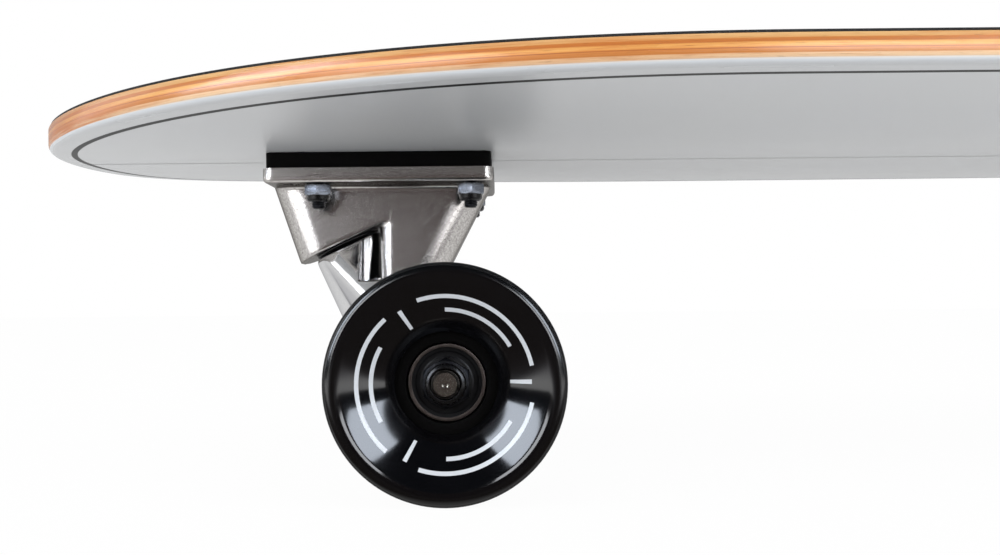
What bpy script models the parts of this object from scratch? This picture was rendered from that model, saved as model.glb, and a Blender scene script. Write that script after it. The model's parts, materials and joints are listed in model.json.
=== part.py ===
"""Surf-style skateboard: a flat rounded deck on two steep-axis trucks with soft wheels.

Metres, +Z up, nose towards -X. The origin is on the ground, under the middle of the board.
Each truck is modelled once, in its own frame: the origin is the deck's underside right above
the axle, and +X points to the middle of the board. The rear truck is the same, turned round.
"""
import bpy
import bmesh
from math import atan2, cos, sin, tan, pi, radians, hypot
from mathutils import Matrix, Vector

MM = 0.001

# Clearances
SEAT = 0.3 * MM                 # between a piece and what it rests on
RUNNING = 0.3 * MM              # between a turning piece and what it turns on
BOLT_CLEARANCE = 0.4 * MM       # bolt to hole, on the radius
SWING_CLEARANCE = 1.3 * MM      # between the hanger and the casting that it swings past

# Facets of round shapes; pieces that run in each other share theirs
WHEEL_STEPS = 24
HUB_STEPS = 12
TRUCK_STEPS = 16
BOLT_STEPS = 8

# Deck
DECK_LENGTH = 813 * MM
DECK_WIDTH = 258 * MM
WIDEST_FROM_NOSE = 240 * MM
DECK_THICKNESS = 8.4 * MM
CONCAVE_RISE = 7.2 * MM         # of the whole flank, part of which lies outside the outline
FLAT_HALF_WIDTH = 30 * MM       # the middle band of the deck is flat
FLANK_END = 152 * MM            # from the middle line, where the flank would level out
LOWER_EDGE_RADIUS = 2.6 * MM
UPPER_EDGE_RADIUS = 0.8 * MM
NOSE_FULLNESS = 2.13
TAIL_FULLNESS = 2.7
GRIP_THICKNESS = 0.6 * MM
GRIP_INSET = 0.5 * MM

# Where the trucks sit
NOSE_TO_FRONT_AXLE = 146 * MM
AXLE_SPACING = 480 * MM

# Riser pad and truck bolts
RISER_THICKNESS = 5.0 * MM
RISER_LENGTH = 78.9 * MM
RISER_WIDTH = 54 * MM
PLATE_CORNER_RADIUS = 3 * MM
BOLT_DIAMETER = 4.8 * MM
BOLT_HEAD_DIAMETER = 9.4 * MM
BOLT_HEAD_HEIGHT = 2.6 * MM
BOLT_HEAD_RIM = 0.3 * MM
BOLT_SOCKET_DIAMETER = 4.0 * MM
BOLT_SOCKET_DEPTH = 1.4 * MM
BOLT_CHAMFER = 0.6 * MM
BOLT_TIP = 2.0 * MM             # of thread below the lock nut
BOLT_SPACING_LONG = 53.98 * MM
BOLT_SPACING_WIDE = 41.28 * MM
OLD_BOLT_SPACING_LONG = 63.5 * MM
LOCK_NUT_FLATS = 9.5 * MM
LOCK_NUT_HEX = 4.2 * MM
LOCK_NUT_COLLAR = 2.2 * MM

# Baseplate casting, seen from the side: x from the axle, depth below the deck
PLATE_LENGTH = 80.7 * MM
PLATE_WIDTH = 56 * MM
PLATE_THICKNESS = 5.0 * MM
PLATE_END_PAST_AXLE = 13.2 * MM
BOLT_TO_PLATE_END = 8.2 * MM
PLATE_EDGE_RADIUS = 1.2 * MM
CASTING_WIDTH = 28 * MM
CUP_LEG_TIP_X = -58.3 * MM
CUP_LEG_TIP_DEPTH = 38.1 * MM
CUP_LEG_RAKE = radians(18.6)    # of its front edge, from the vertical
KINGPIN_LEG_INNER_X = -28.5 * MM
KINGPIN_LEG_RAKE = radians(27.4)
KINGPIN_LEG_TOP_X = 11.7 * MM
CASTING_END_RADIUS = 9.5 * MM
LEG_EDGE_RADIUS = 4.8 * MM
LEG_ROOT_FLARE = 2.0 * MM       # of the legs where they meet the plate

# Steering
TURN_AXIS_ANGLE = radians(65.5)   # of the turning axis below the deck's plane
KINGPIN_LEAN = radians(18)      # from the vertical, nut end towards the board's end
KINGPIN_SEAT_X = -19.5 * MM
KINGPIN_SEAT_DEPTH = 49.2 * MM
STEER_RANGE = radians(20)

KINGPIN_DIAMETER = 9.5 * MM
KINGPIN_HEAD_FLATS = 14.3 * MM
KINGPIN_HEAD_HEIGHT = 6.0 * MM
KINGPIN_HEAD_DEPTH = 14.0 * MM  # of the head's underside, below the deck
KINGPIN_TIP = 1.5 * MM
KINGPIN_NUT_FLATS = 14.3 * MM
KINGPIN_NUT_HEIGHT = 8.5 * MM
WASHER_THICKNESS = 1.5 * MM
WASHER_LIP = 1.2 * MM
BUSHING_DIAMETER = 24.5 * MM
LOWER_BUSHING_END = 20 * MM     # across its lower end
BUSHING_EDGE = 1.4 * MM
BUSHING_BORE = 10.4 * MM
UPPER_BUSHING_HEIGHT = 11 * MM
LOWER_BUSHING_HEIGHT = 10 * MM
RING_THICKNESS = 9 * MM
RING_DIAMETER = 31 * MM
RING_BORE = 13.4 * MM
RING_LIP = 1.0 * MM             # of the ring round each bushing's seat
WEB_INSET = 0.6 * MM            # of the web from the ring's faces
WEB_HALF_WIDTH = 17 * MM
ARM_TOP = 10 * MM               # along the turning axis from the cup leg's face
ARM_BOTTOM = 38 * MM
ARM_TOP_RADIUS = 7 * MM
ARM_BOTTOM_RADIUS = 8.5 * MM
ARM_ROOT_OFFSET = 5 * MM
ARM_LEAN = 4 * MM               # of the arm's upper root towards the board's end
ARM_END = 16 * MM               # of the arm's tip from the end of the hanger
BARREL_STRAIGHT = 0.5           # share of the barrel's half length before it tapers
SKIN = 0.5 * MM                 # by which joined forms lie inside each other

CUP_DIAMETER = 19 * MM
CUP_DEPTH = 14 * MM
CUP_WALL = 2.6 * MM
CUP_RIM_DIAMETER = 25 * MM
CUP_RIM_THICKNESS = 0.6 * MM
NECK_DIAMETER = 27.2 * MM
NECK_LENGTH = 40 * MM
NECK_EDGE_RADIUS = 0.9 * MM
NECK_END_TAPER = 5 * MM
NECK_FLAT_FRONT_X = -35.6 * MM   # of the slanted flats behind the neck, each side
NECK_FLAT_HALF_WIDTH = 12.2 * MM  # at their front ends
NECK_FLAT_ANGLE = radians(30)
NECK_FLAT_FOOT = 45.5 * MM      # depth of their lower ends

# Hanger, axle and wheels
AXLE_DEPTH = 76 * MM            # of the axle below the deck's underside
HANGER_WIDTH = 150 * MM
HANGER_BARREL_DIAMETER = 19 * MM
HANGER_END_DIAMETER = 14.4 * MM
HANGER_SHOULDER_DIAMETER = 11 * MM
AXLE_DIAMETER = 7.94 * MM
AXLE_LENGTH = 219.6 * MM
AXLE_CHAMFER = 1.0 * MM
AXLE_NUT_FLATS = 12.7 * MM
AXLE_NUT_HEX = 5.0 * MM
AXLE_NUT_COLLAR = 2.6 * MM
SPEED_WASHER = 1.0 * MM

BEARING_DIAMETER = 22 * MM
BEARING_BORE = 8 * MM
BEARING_WIDTH = 7 * MM
BEARING_RACE = 1.15 * MM
BEARING_INNER_RACE = 1.9 * MM
BEARING_SHIELD_RECESS = 0.4 * MM
BEARING_SPACING = 10 * MM       # between the two bearings of a wheel

WHEEL_DIAMETER = 67 * MM
WHEEL_WIDTH = 51 * MM
WHEEL_LIP_RADIUS = 3.7 * MM
WHEEL_CREST_RADIUS = 2.5 * MM     # of the round from the lip into the dish
WHEEL_HUB_MOUTH = 29 * MM
WHEEL_DISH_DEPTH = 10.5 * MM
CORE_DIAMETER = 34 * MM
CORE_OVERHANG = 1.2 * MM        # of the core past its bearings
CORE_WEB_BORE = 18 * MM

# Worked out from the sizes above
DECK_UNDERSIDE = WHEEL_DIAMETER / 2 + AXLE_DEPTH
FRONT_AXLE_X = -DECK_LENGTH / 2 + NOSE_TO_FRONT_AXLE
REAR_AXLE_X = FRONT_AXLE_X + AXLE_SPACING
RISER_BOTTOM = SEAT + RISER_THICKNESS
PLATE_TOP = RISER_BOTTOM + SEAT
PLATE_BOTTOM = PLATE_TOP + PLATE_THICKNESS
PLATE_MIDDLE_X = PLATE_END_PAST_AXLE - PLATE_LENGTH / 2
INNER_BOLT_X = PLATE_END_PAST_AXLE - BOLT_TO_PLATE_END
OUTER_BOLT_X = INNER_BOLT_X - BOLT_SPACING_LONG
OLD_BOLT_X = INNER_BOLT_X - OLD_BOLT_SPACING_LONG
BOLT_HOLE_RADIUS = BOLT_DIAMETER / 2 + BOLT_CLEARANCE
BEARING_END = HANGER_WIDTH / 2 + SPEED_WASHER
WHEEL_MIDDLE_Y = BEARING_END + BEARING_WIDTH + BEARING_SPACING / 2
BEARING_OFFSET = (BEARING_SPACING + BEARING_WIDTH) / 2


def from_side(x, depth):
    """A point of the truck's side view, as a vector in the truck's frame."""
    return Vector((x, 0, -depth))


KINGPIN_DOWN = Vector((-sin(KINGPIN_LEAN), 0, -cos(KINGPIN_LEAN)))
KINGPIN_SEAT = from_side(KINGPIN_SEAT_X, KINGPIN_SEAT_DEPTH)
UPPER_BUSHING_TOP = SEAT + WASHER_THICKNESS + SEAT
RING_TOP = UPPER_BUSHING_TOP + UPPER_BUSHING_HEIGHT + SEAT
RING_MIDDLE = RING_TOP + RING_THICKNESS / 2
LOWER_BUSHING_TOP = RING_TOP + RING_THICKNESS + SEAT
LOWER_WASHER_TOP = LOWER_BUSHING_TOP + LOWER_BUSHING_HEIGHT + SEAT
KINGPIN_NUT_TOP = LOWER_WASHER_TOP + WASHER_THICKNESS + SEAT
KINGPIN_END = KINGPIN_NUT_TOP + KINGPIN_NUT_HEIGHT + KINGPIN_TIP
KINGPIN_HEAD = -(KINGPIN_SEAT_DEPTH - KINGPIN_HEAD_DEPTH) / cos(KINGPIN_LEAN)

TURN_DOWN = Vector((cos(TURN_AXIS_ANGLE), 0, -sin(TURN_AXIS_ANGLE)))
TURN_CENTRE = KINGPIN_SEAT + KINGPIN_DOWN * RING_MIDDLE
CUP_LEG_TIP = from_side(CUP_LEG_TIP_X, CUP_LEG_TIP_DEPTH)
# The face of the cup leg is square to the turning axis, through the leg's tip.
CUP_FACE = TURN_CENTRE + TURN_DOWN * (CUP_LEG_TIP - TURN_CENTRE).dot(TURN_DOWN)


def material(name, colour, roughness, metallic=0.0):
    """A Principled material with one colour."""
    made = bpy.data.materials.new(name)
    made.use_nodes = True
    shader = made.node_tree.nodes["Principled BSDF"]
    shader.inputs["Base Color"].default_value = (*colour, 1.0)
    shader.inputs["Roughness"].default_value = roughness
    shader.inputs["Metallic"].default_value = metallic
    made.diffuse_color = (*colour, 1.0)
    return made


def empty(name, place, parent=None, turn=0.0):
    """A handle that carries other objects; turn is about the vertical."""
    handle = bpy.data.objects.new(name, None)
    bpy.context.collection.objects.link(handle)
    handle.parent = parent
    handle.location = place
    handle.rotation_euler = (0, 0, turn)
    return handle


def place(name, mesh, finish, parent=None, at=(0, 0, 0)):
    """An object that shows a mesh, in one finish."""
    thing = bpy.data.objects.new(name, mesh)
    bpy.context.collection.objects.link(thing)
    thing.parent = parent
    thing.location = at
    if not mesh.materials:
        mesh.materials.append(finish)
    return thing


def finished(shape, name, sharp=35):
    """The mesh of a bmesh, with smooth faces and sharp edges past an angle in degrees."""
    mesh = bpy.data.meshes.new(name)
    shape.to_mesh(mesh)
    shape.free()
    mesh.shade_smooth()
    mesh.set_sharp_from_angle(angle=radians(sharp))
    return mesh


def along(direction, start):
    """A matrix that carries +Z to a direction and the origin to a start point."""
    turn = Vector((0, 0, 1)).rotation_difference(direction).to_matrix().to_4x4()
    return Matrix.Translation(start) @ turn


def revolve(profile, steps, closed=True):
    """Spin (radius, height) points round Z; an open profile starts and ends on the axis."""
    shape = bmesh.new()
    points = [shape.verts.new((radius, 0, height)) for radius, height in profile]
    ends = points[1:] + points[:1] if closed else points[1:]
    edges = [shape.edges.new(pair) for pair in zip(points, ends)]
    bmesh.ops.spin(shape, geom=points + edges, cent=(0, 0, 0), axis=(0, 0, 1), dvec=(0, 0, 0),
                   angle=2 * pi, steps=steps, use_merge=True)
    bmesh.ops.remove_doubles(shape, verts=shape.verts, dist=1e-7)
    bmesh.ops.recalc_face_normals(shape, faces=shape.faces)
    return shape


def prism(outline, low, high):
    """Extrude an outline of (x, y) points from one height to another."""
    shape = bmesh.new()
    face = shape.faces.new([shape.verts.new((x, y, low)) for x, y in outline])
    grown = bmesh.ops.extrude_face_region(shape, geom=[face])["geom"]
    top = [item for item in grown if isinstance(item, bmesh.types.BMVert)]
    bmesh.ops.translate(shape, verts=top, vec=(0, 0, high - low))
    bmesh.ops.recalc_face_normals(shape, faces=shape.faces)
    return shape


def side_prism(outline, width):
    """Extrude a side view of (x, depth) points across the truck, evenly about its middle."""
    shape = prism([(x, -depth) for x, depth in outline], -width / 2, width / 2)
    bmesh.ops.rotate(shape, verts=shape.verts, cent=(0, 0, 0), matrix=Matrix.Rotation(pi / 2, 3, "X"))
    return shape


def rod(radius, start, end, direction, origin, steps=24):
    """A cylinder between two distances along a direction from an origin."""
    shape = revolve([(0, start), (radius, start), (radius, end), (0, end)], steps, closed=False)
    shape.transform(along(direction, origin))
    return shape


def polygon(sides, flats):
    """The corners of a regular polygon of a given width across its flats."""
    corner = flats / 2 / cos(pi / sides)
    return [(corner * cos(2 * pi * (k + 0.5) / sides), corner * sin(2 * pi * (k + 0.5) / sides))
            for k in range(sides)]


def rounded_rectangle(length, width, radius, middle_x, steps=5):
    """The outline of a rectangle with round corners, centred on (middle_x, 0)."""
    outline = []
    for quarter, (sx, sy) in enumerate(((1, 1), (-1, 1), (-1, -1), (1, -1))):
        cx = middle_x + sx * (length / 2 - radius)
        cy = sy * (width / 2 - radius)
        for k in range(steps):
            angle = pi / 2 * (quarter + k / (steps - 1))
            outline.append((cx + radius * cos(angle), cy + radius * sin(angle)))
    return outline


def combine(base, join=(), cut=(), solver="EXACT"):
    """Join solids to a base and cut others from it, and give back one mesh."""
    helpers = []

    def helper(shape):
        mesh = bpy.data.meshes.new("helper")
        shape.to_mesh(mesh)
        shape.free()
        thing = bpy.data.objects.new("helper", mesh)
        bpy.context.collection.objects.link(thing)
        thing.hide_render = True
        thing.display_type = "WIRE"
        helpers.append(thing)
        return thing

    target = helper(base)
    for operation, shapes in (("UNION", join), ("DIFFERENCE", cut)):
        for shape in shapes:
            step = target.modifiers.new(operation.lower(), "BOOLEAN")
            step.operation = operation
            step.solver = solver
            step.object = helper(shape)
    evaluated = target.evaluated_get(bpy.context.evaluated_depsgraph_get())
    result = bpy.data.meshes.new_from_object(evaluated)
    for thing in helpers:
        bpy.data.objects.remove(thing)
    tidy = bmesh.new()
    tidy.from_mesh(result)
    bpy.data.meshes.remove(result)
    bmesh.ops.remove_doubles(tidy, verts=tidy.verts, dist=2e-6)
    bmesh.ops.dissolve_degenerate(tidy, edges=tidy.edges, dist=2e-6)
    return tidy


# Deck

def deck_rise(y):
    """How far the flank lifts the deck at a distance from its middle line."""
    share = min(max((abs(y) - FLAT_HALF_WIDTH) / (FLANK_END - FLAT_HALF_WIDTH), 0), 1)
    return CONCAVE_RISE * share * share * (3 - 2 * share)


def deck_outline(inset=0.0, steps=16):
    """The deck's plan: an oval nose and a fuller tail that meet at the widest place."""
    half_width = DECK_WIDTH / 2 - inset
    nose = -DECK_LENGTH / 2 + inset
    tail = DECK_LENGTH / 2 - inset
    widest = -DECK_LENGTH / 2 + WIDEST_FROM_NOSE
    right = []
    for k in range(steps + 1):
        angle = pi / 2 * k / steps
        right.append((widest - (widest - nose) * cos(angle), half_width * sin(angle) ** (2 / NOSE_FULLNESS)))
    for k in range(1, steps + 1):
        angle = pi / 2 * (1 - k / steps)
        x = widest + (tail - widest) * cos(angle) ** (2 / TAIL_FULLNESS)
        right.append((x, half_width * sin(angle) ** (2 / TAIL_FULLNESS)))
    left = [(x, -y) for x, y in right[-2:0:-1]]
    return right + left


def curved_sheet(inset, bottom, top, lower_radius, upper_radius):
    """A sheet with the deck's plan and concave, between two heights above its flat underside."""
    shape = prism(deck_outline(inset), bottom, top)
    for radius, height, segments in ((lower_radius, bottom, 2), (upper_radius, top, 1)):
        if radius:
            rim = [edge for edge in shape.edges
                   if all(abs(vert.co.z - height) < 1e-6 for vert in edge.verts)]
            bmesh.ops.bevel(shape, geom=rim, offset=radius, segments=segments, profile=0.5,
                            affect="EDGES", offset_type="OFFSET", material=-1)
    flank_lines = 4
    for k in range(flank_lines):
        y = FLAT_HALF_WIDTH + (DECK_WIDTH / 2 - FLAT_HALF_WIDTH) * k / flank_lines
        for side in (-1, 1):
            bmesh.ops.bisect_plane(shape, geom=shape.verts[:] + shape.edges[:] + shape.faces[:],
                                   plane_co=(0, side * y, 0), plane_no=(0, 1, 0), dist=1e-6)
    for vert in shape.verts:
        vert.co.z += deck_rise(vert.co.y)
    return shape


def bolt_places():
    """The eight truck bolts as (name stem, number, x, y) on the deck."""
    for end, axle_x, inwards in (("front", FRONT_AXLE_X, 1), ("rear", REAR_AXLE_X, -1)):
        number = 0
        for x in (OUTER_BOLT_X, INNER_BOLT_X):
            for side in (-1, 1):
                number += 1
                yield end, number, axle_x + inwards * x, side * BOLT_SPACING_WIDE / 2


def bolt_hole(x, y, top):
    """A cutter for a truck bolt with its countersunk head at a given height."""
    head = BOLT_HEAD_DIAMETER / 2 + BOLT_CLEARANCE
    lowest = top - DECK_THICKNESS - RISER_THICKNESS - PLATE_THICKNESS
    shape = revolve([(0, lowest), (BOLT_HOLE_RADIUS, lowest), (BOLT_HOLE_RADIUS, top - BOLT_HEAD_HEIGHT),
                     (head, top - BOLT_CLEARANCE), (head, top + DECK_THICKNESS), (0, top + DECK_THICKNESS)],
                    BOLT_STEPS, closed=False)
    bmesh.ops.translate(shape, verts=shape.verts, vec=(x, y, 0))
    return shape


def make_deck(wood, grit):
    """The maple deck and the grip sheet on it, with their bolt holes."""
    grip_bottom = DECK_THICKNESS + SEAT
    for name, finish, sheet in (
            ("deck", wood, (0, 0, DECK_THICKNESS, LOWER_EDGE_RADIUS, UPPER_EDGE_RADIUS)),
            ("grip_tape", grit, (GRIP_INSET, grip_bottom, grip_bottom + GRIP_THICKNESS, 0, 0))):
        holes = [bolt_hole(x, y, DECK_THICKNESS) for _, _, x, y in bolt_places()]
        board = combine(curved_sheet(*sheet), cut=holes)
        place(name, finished(board, name), finish, at=(0, 0, DECK_UNDERSIDE))


def bolt_mesh():
    """A countersunk truck bolt, head up, with its origin at the top of its head."""
    shaft = BOLT_DIAMETER / 2
    head = BOLT_HEAD_DIAMETER / 2
    nut_bottom = PLATE_BOTTOM + SEAT + LOCK_NUT_HEX + LOCK_NUT_COLLAR
    tip = -(DECK_THICKNESS + nut_bottom + BOLT_TIP)
    socket = BOLT_SOCKET_DIAMETER / 2
    return finished(revolve([(0, -BOLT_SOCKET_DEPTH), (socket, -BOLT_SOCKET_DEPTH), (socket, 0), (head, 0),
                             (head, -BOLT_HEAD_RIM), (shaft, -BOLT_HEAD_HEIGHT), (shaft, tip + BOLT_CHAMFER),
                             (shaft - BOLT_CHAMFER, tip), (0, tip)], BOLT_STEPS, closed=False), "truck_bolt")


def lock_nut_mesh(name, flats, hex_height, collar_height, bore, steps, washer=0.0):
    """A lock nut, hex side up: a chamfered hex, a round collar below and a round bore."""
    hexagon = prism(polygon(6, flats), -hex_height, 0)
    rim = [edge for edge in hexagon.edges if all(abs(vert.co.z) < 1e-6 for vert in edge.verts)]
    bmesh.ops.bevel(hexagon, geom=rim, offset=flats * 0.05, segments=1, profile=0.5, affect="EDGES",
                    offset_type="OFFSET", material=-1)
    collar = flats / 2 * 0.92
    bottom = -hex_height - collar_height
    joined = [revolve([(0, bottom), (collar * 0.86, bottom), (collar, bottom + collar_height * 0.4),
                       (collar, -hex_height * 0.7), (0, -hex_height * 0.7)], steps, closed=False)]
    up = Vector((0, 0, 1))
    middle = Vector((0, 0, 0))
    if washer:
        joined.append(rod(flats / 2 * 0.8, -hex_height / 2, washer, up, middle, steps))
    hole = rod(bore, bottom - MM, washer + MM, up, middle, steps)
    return finished(combine(hexagon, join=joined, cut=[hole]), name)


# Baseplate casting and riser

def casting_outline(grown=0.0):
    """The two legs of the casting in side view, (x, depth); grown moves the free faces outwards."""
    root = PLATE_TOP + PLATE_THICKNESS / 2
    front_x = CUP_LEG_TIP.x - tan(CUP_LEG_RAKE) * (-CUP_LEG_TIP.z - root)
    face = CUP_FACE + TURN_DOWN * grown
    face_slope = cos(TURN_AXIS_ANGLE) / sin(TURN_AXIS_ANGLE)
    inner_x = KINGPIN_LEG_INNER_X - grown
    tip_x = CUP_LEG_TIP.x - grown
    tip_depth = -face.z - (tip_x - face.x) * face_slope
    notch_depth = -face.z - (inner_x - face.x) * face_slope
    seat = KINGPIN_SEAT + KINGPIN_DOWN * grown
    seat_slope = tan(KINGPIN_LEAN)
    seat_inner_depth = -seat.z + (inner_x - seat.x) * seat_slope
    rear_slope = tan(KINGPIN_LEG_RAKE)
    rear_top = KINGPIN_LEG_TOP_X + grown / cos(KINGPIN_LEG_RAKE)
    seat_outer_depth = (-seat.z + (rear_top + rear_slope * PLATE_BOTTOM - seat.x) * seat_slope) \
        / (1 + seat_slope * rear_slope)
    seat_outer_x = rear_top - rear_slope * (seat_outer_depth - PLATE_BOTTOM)
    rear_x = rear_top + rear_slope * (PLATE_BOTTOM - root)
    return [(front_x - grown, root), (tip_x, tip_depth), (inner_x, notch_depth), (inner_x, seat_inner_depth),
            (seat_outer_x, seat_outer_depth), (rear_x, root)]


def side_edges(shape, *ends):
    """The edges that run from one side-view point (x, depth) to the other, on either side."""
    return [edge for edge in shape.edges
            if all(any(hypot(vert.co.x - x, vert.co.z + depth) < 1e-5 for vert in edge.verts)
                   for x, depth in ends)]


def round_off(shape, edges, radius, segments):
    """Round some edges of a shape."""
    bmesh.ops.bevel(shape, geom=edges, offset=radius, segments=segments, profile=0.5, affect="EDGES",
                    offset_type="OFFSET", clamp_overlap=True, material=-1)


def cup_leg():
    """The leg that holds the pivot cup, with a round front; its slanted face runs on into the other leg."""
    front_top, tip, notch, _, _, _ = casting_outline()
    inside = notch[0] + 2 * LEG_EDGE_RADIUS
    slope = (tip[1] - notch[1]) / (notch[0] - tip[0])
    outline = [front_top, tip, (inside, notch[1] - slope * (inside - notch[0])), (inside, front_top[1])]
    shape = side_prism(outline, CASTING_WIDTH)
    round_off(shape, side_edges(shape, front_top, tip), CASTING_END_RADIUS, 5)
    return shape


def kingpin_leg(grown=0.0, rear_radius=CASTING_END_RADIUS):
    """The leg that holds the kingpin; grown by a clearance, it is the space that the hanger keeps out of."""
    _, _, _, seat_inner, seat_outer, rear_top = casting_outline(grown)
    front_top = (seat_inner[0], rear_top[1])
    shape = side_prism([front_top, seat_inner, seat_outer, rear_top], CASTING_WIDTH + 2 * grown)
    round_off(shape, side_edges(shape, front_top, seat_inner), LEG_EDGE_RADIUS + grown, 3)
    round_off(shape, side_edges(shape, seat_outer, rear_top), rear_radius, 5)
    return shape


def leg_root():
    """A flare that stands for the cast fillet between the legs and the plate, up to the plate's outer end."""
    left = PLATE_MIDDLE_X - PLATE_LENGTH / 2 + PLATE_EDGE_RADIUS
    right = casting_outline()[5][0] + LEG_ROOT_FLARE
    middle = (left + right) / 2
    width = CASTING_WIDTH + 2 * LEG_ROOT_FLARE
    low = -PLATE_BOTTOM - LEG_ROOT_FLARE
    shape = prism(rounded_rectangle(right - left, width, CASTING_END_RADIUS + LEG_ROOT_FLARE, middle),
                  low, -PLATE_BOTTOM + PLATE_EDGE_RADIUS)
    for vert in shape.verts:
        if vert.co.z < low + LEG_ROOT_FLARE / 2:
            vert.co.x -= (vert.co.x - middle) * 2 * LEG_ROOT_FLARE / (right - left)
            vert.co.y -= vert.co.y * 2 * LEG_ROOT_FLARE / width
    return shape


def baseplate_mesh():
    """Plate and legs in one casting, bored for the bolts, the kingpin and the pivot cup."""
    plate = prism(rounded_rectangle(PLATE_LENGTH, PLATE_WIDTH, PLATE_CORNER_RADIUS, PLATE_MIDDLE_X),
                  -PLATE_BOTTOM, -PLATE_TOP)
    rim = [edge for edge in plate.edges if all(abs(vert.co.z + PLATE_BOTTOM) < 1e-6 for vert in edge.verts)]
    bmesh.ops.bevel(plate, geom=rim, offset=PLATE_EDGE_RADIUS, segments=1, profile=0.5, affect="EDGES",
                    offset_type="OFFSET", material=-1)
    cuts = [rod(BOLT_HOLE_RADIUS, -PLATE_BOTTOM - MM, -PLATE_TOP + MM, Vector((0, 0, 1)),
                Vector((x, side * BOLT_SPACING_WIDE / 2, 0)), BOLT_STEPS)
            for x in (OLD_BOLT_X, OUTER_BOLT_X, INNER_BOLT_X) for side in (-1, 1)]
    head_corner = KINGPIN_HEAD_FLATS / 2 / cos(pi / 6) + BOLT_CLEARANCE
    cuts.append(rod(KINGPIN_DIAMETER / 2 + BOLT_CLEARANCE, KINGPIN_HEAD - MM, MM, KINGPIN_DOWN, KINGPIN_SEAT,
                    TRUCK_STEPS))
    cuts.append(rod(head_corner, KINGPIN_HEAD - 2 * KINGPIN_HEAD_HEIGHT, KINGPIN_HEAD, KINGPIN_DOWN,
                    KINGPIN_SEAT, TRUCK_STEPS))
    cuts.append(rod(CUP_DIAMETER / 2 + SEAT, -CUP_DEPTH - SEAT, MM, TURN_DOWN, CUP_FACE, TRUCK_STEPS))
    # The two legs share their side faces, which the exact solver doesn't close.
    whole = combine(plate, [leg_root(), cup_leg(), kingpin_leg()], cuts, solver="MANIFOLD")
    return finished(whole, "baseplate")


def riser_mesh():
    """The rubber riser pad with its six bolt holes and a hole over the kingpin's head."""
    pad = prism(rounded_rectangle(RISER_LENGTH, RISER_WIDTH, PLATE_CORNER_RADIUS, PLATE_MIDDLE_X),
                -RISER_BOTTOM, -SEAT)
    cuts = [rod(BOLT_HOLE_RADIUS, -RISER_BOTTOM - MM, MM, Vector((0, 0, 1)),
                Vector((x, side * BOLT_SPACING_WIDE / 2, 0)), BOLT_STEPS)
            for x in (OLD_BOLT_X, OUTER_BOLT_X, INNER_BOLT_X) for side in (-1, 1)]
    return finished(combine(pad, cut=cuts), "riser")


# Kingpin stack and pivot cup

def kingpin_mesh():
    """A hex-headed kingpin, from the head in the plate to its tip below the nut."""
    shank = KINGPIN_DIAMETER / 2
    chamfer = 0.8 * MM
    head = prism(polygon(6, KINGPIN_HEAD_FLATS), KINGPIN_HEAD - KINGPIN_HEAD_HEIGHT, KINGPIN_HEAD - SEAT)
    pin = revolve([(0, KINGPIN_HEAD - KINGPIN_HEAD_HEIGHT / 2), (shank, KINGPIN_HEAD - KINGPIN_HEAD_HEIGHT / 2),
                   (shank, KINGPIN_END - chamfer), (shank - chamfer, KINGPIN_END), (0, KINGPIN_END)],
                  TRUCK_STEPS, closed=False)
    shape = combine(head, join=[pin])
    shape.transform(along(KINGPIN_DOWN, KINGPIN_SEAT))
    return finished(shape, "kingpin")


def washer_mesh(top, held, lip):
    """A cup washer round a bushing end of a given diameter; its lip points up (-1) or down (1)."""
    bore = KINGPIN_DIAMETER / 2 + BOLT_CLEARANCE
    inner = held / 2 + SEAT
    outer = inner + WASHER_THICKNESS
    bottom = top + WASHER_THICKNESS
    if lip < 0:
        profile = [(bore, top), (inner, top), (inner, top - WASHER_LIP), (outer, top - WASHER_LIP),
                   (outer, bottom), (bore, bottom)]
    else:
        profile = [(bore, top), (outer, top), (outer, bottom + WASHER_LIP), (inner, bottom + WASHER_LIP),
                   (inner, bottom), (bore, bottom)]
    shape = revolve(profile, TRUCK_STEPS)
    shape.transform(along(KINGPIN_DOWN, KINGPIN_SEAT))
    return finished(shape, "washer")


def bushing_mesh(top, height, end_diameter):
    """A urethane bushing with round edges, narrowed towards its lower end."""
    radius = BUSHING_DIAMETER / 2
    low = end_diameter / 2
    bore = BUSHING_BORE / 2
    shape = revolve([(bore, top), (radius - BUSHING_EDGE, top), (radius, top + BUSHING_EDGE),
                     (radius - (radius - low) / 3, top + height / 2), (low, top + height - BUSHING_EDGE),
                     (low - BUSHING_EDGE, top + height), (bore, top + height)], TRUCK_STEPS)
    shape.transform(along(KINGPIN_DOWN, KINGPIN_SEAT))
    return finished(shape, "bushing")


def kingpin_nut_mesh():
    """The kingpin's lock nut, turned to lie along the kingpin."""
    mesh = lock_nut_mesh("kingpin_nut", KINGPIN_NUT_FLATS, KINGPIN_NUT_HEIGHT * 0.68,
                         KINGPIN_NUT_HEIGHT * 0.32, KINGPIN_DIAMETER / 2 + BOLT_CLEARANCE, TRUCK_STEPS)
    mesh.transform(along(-KINGPIN_DOWN, KINGPIN_SEAT + KINGPIN_DOWN * KINGPIN_NUT_TOP))
    return mesh


def pivot_cup_mesh():
    """The urethane pivot cup: a blind socket in the casting with a rim on the leg's face."""
    outer = CUP_DIAMETER / 2
    inner = outer - CUP_WALL
    bottom = -CUP_DEPTH
    rim_low = SEAT
    rim_high = SEAT + CUP_RIM_THICKNESS
    shape = revolve([(0, bottom), (outer - MM, bottom), (outer, bottom + MM), (outer, rim_low),
                     (CUP_RIM_DIAMETER / 2, rim_low), (CUP_RIM_DIAMETER / 2, rim_high), (inner, rim_high),
                     (inner, bottom + 2 * CUP_WALL), (inner * 0.6, bottom + CUP_WALL), (0, bottom + CUP_WALL)],
                    TRUCK_STEPS, closed=False)
    shape.transform(along(TURN_DOWN, CUP_FACE))
    return finished(shape, "pivot_cup")


# Hanger and axle

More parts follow.
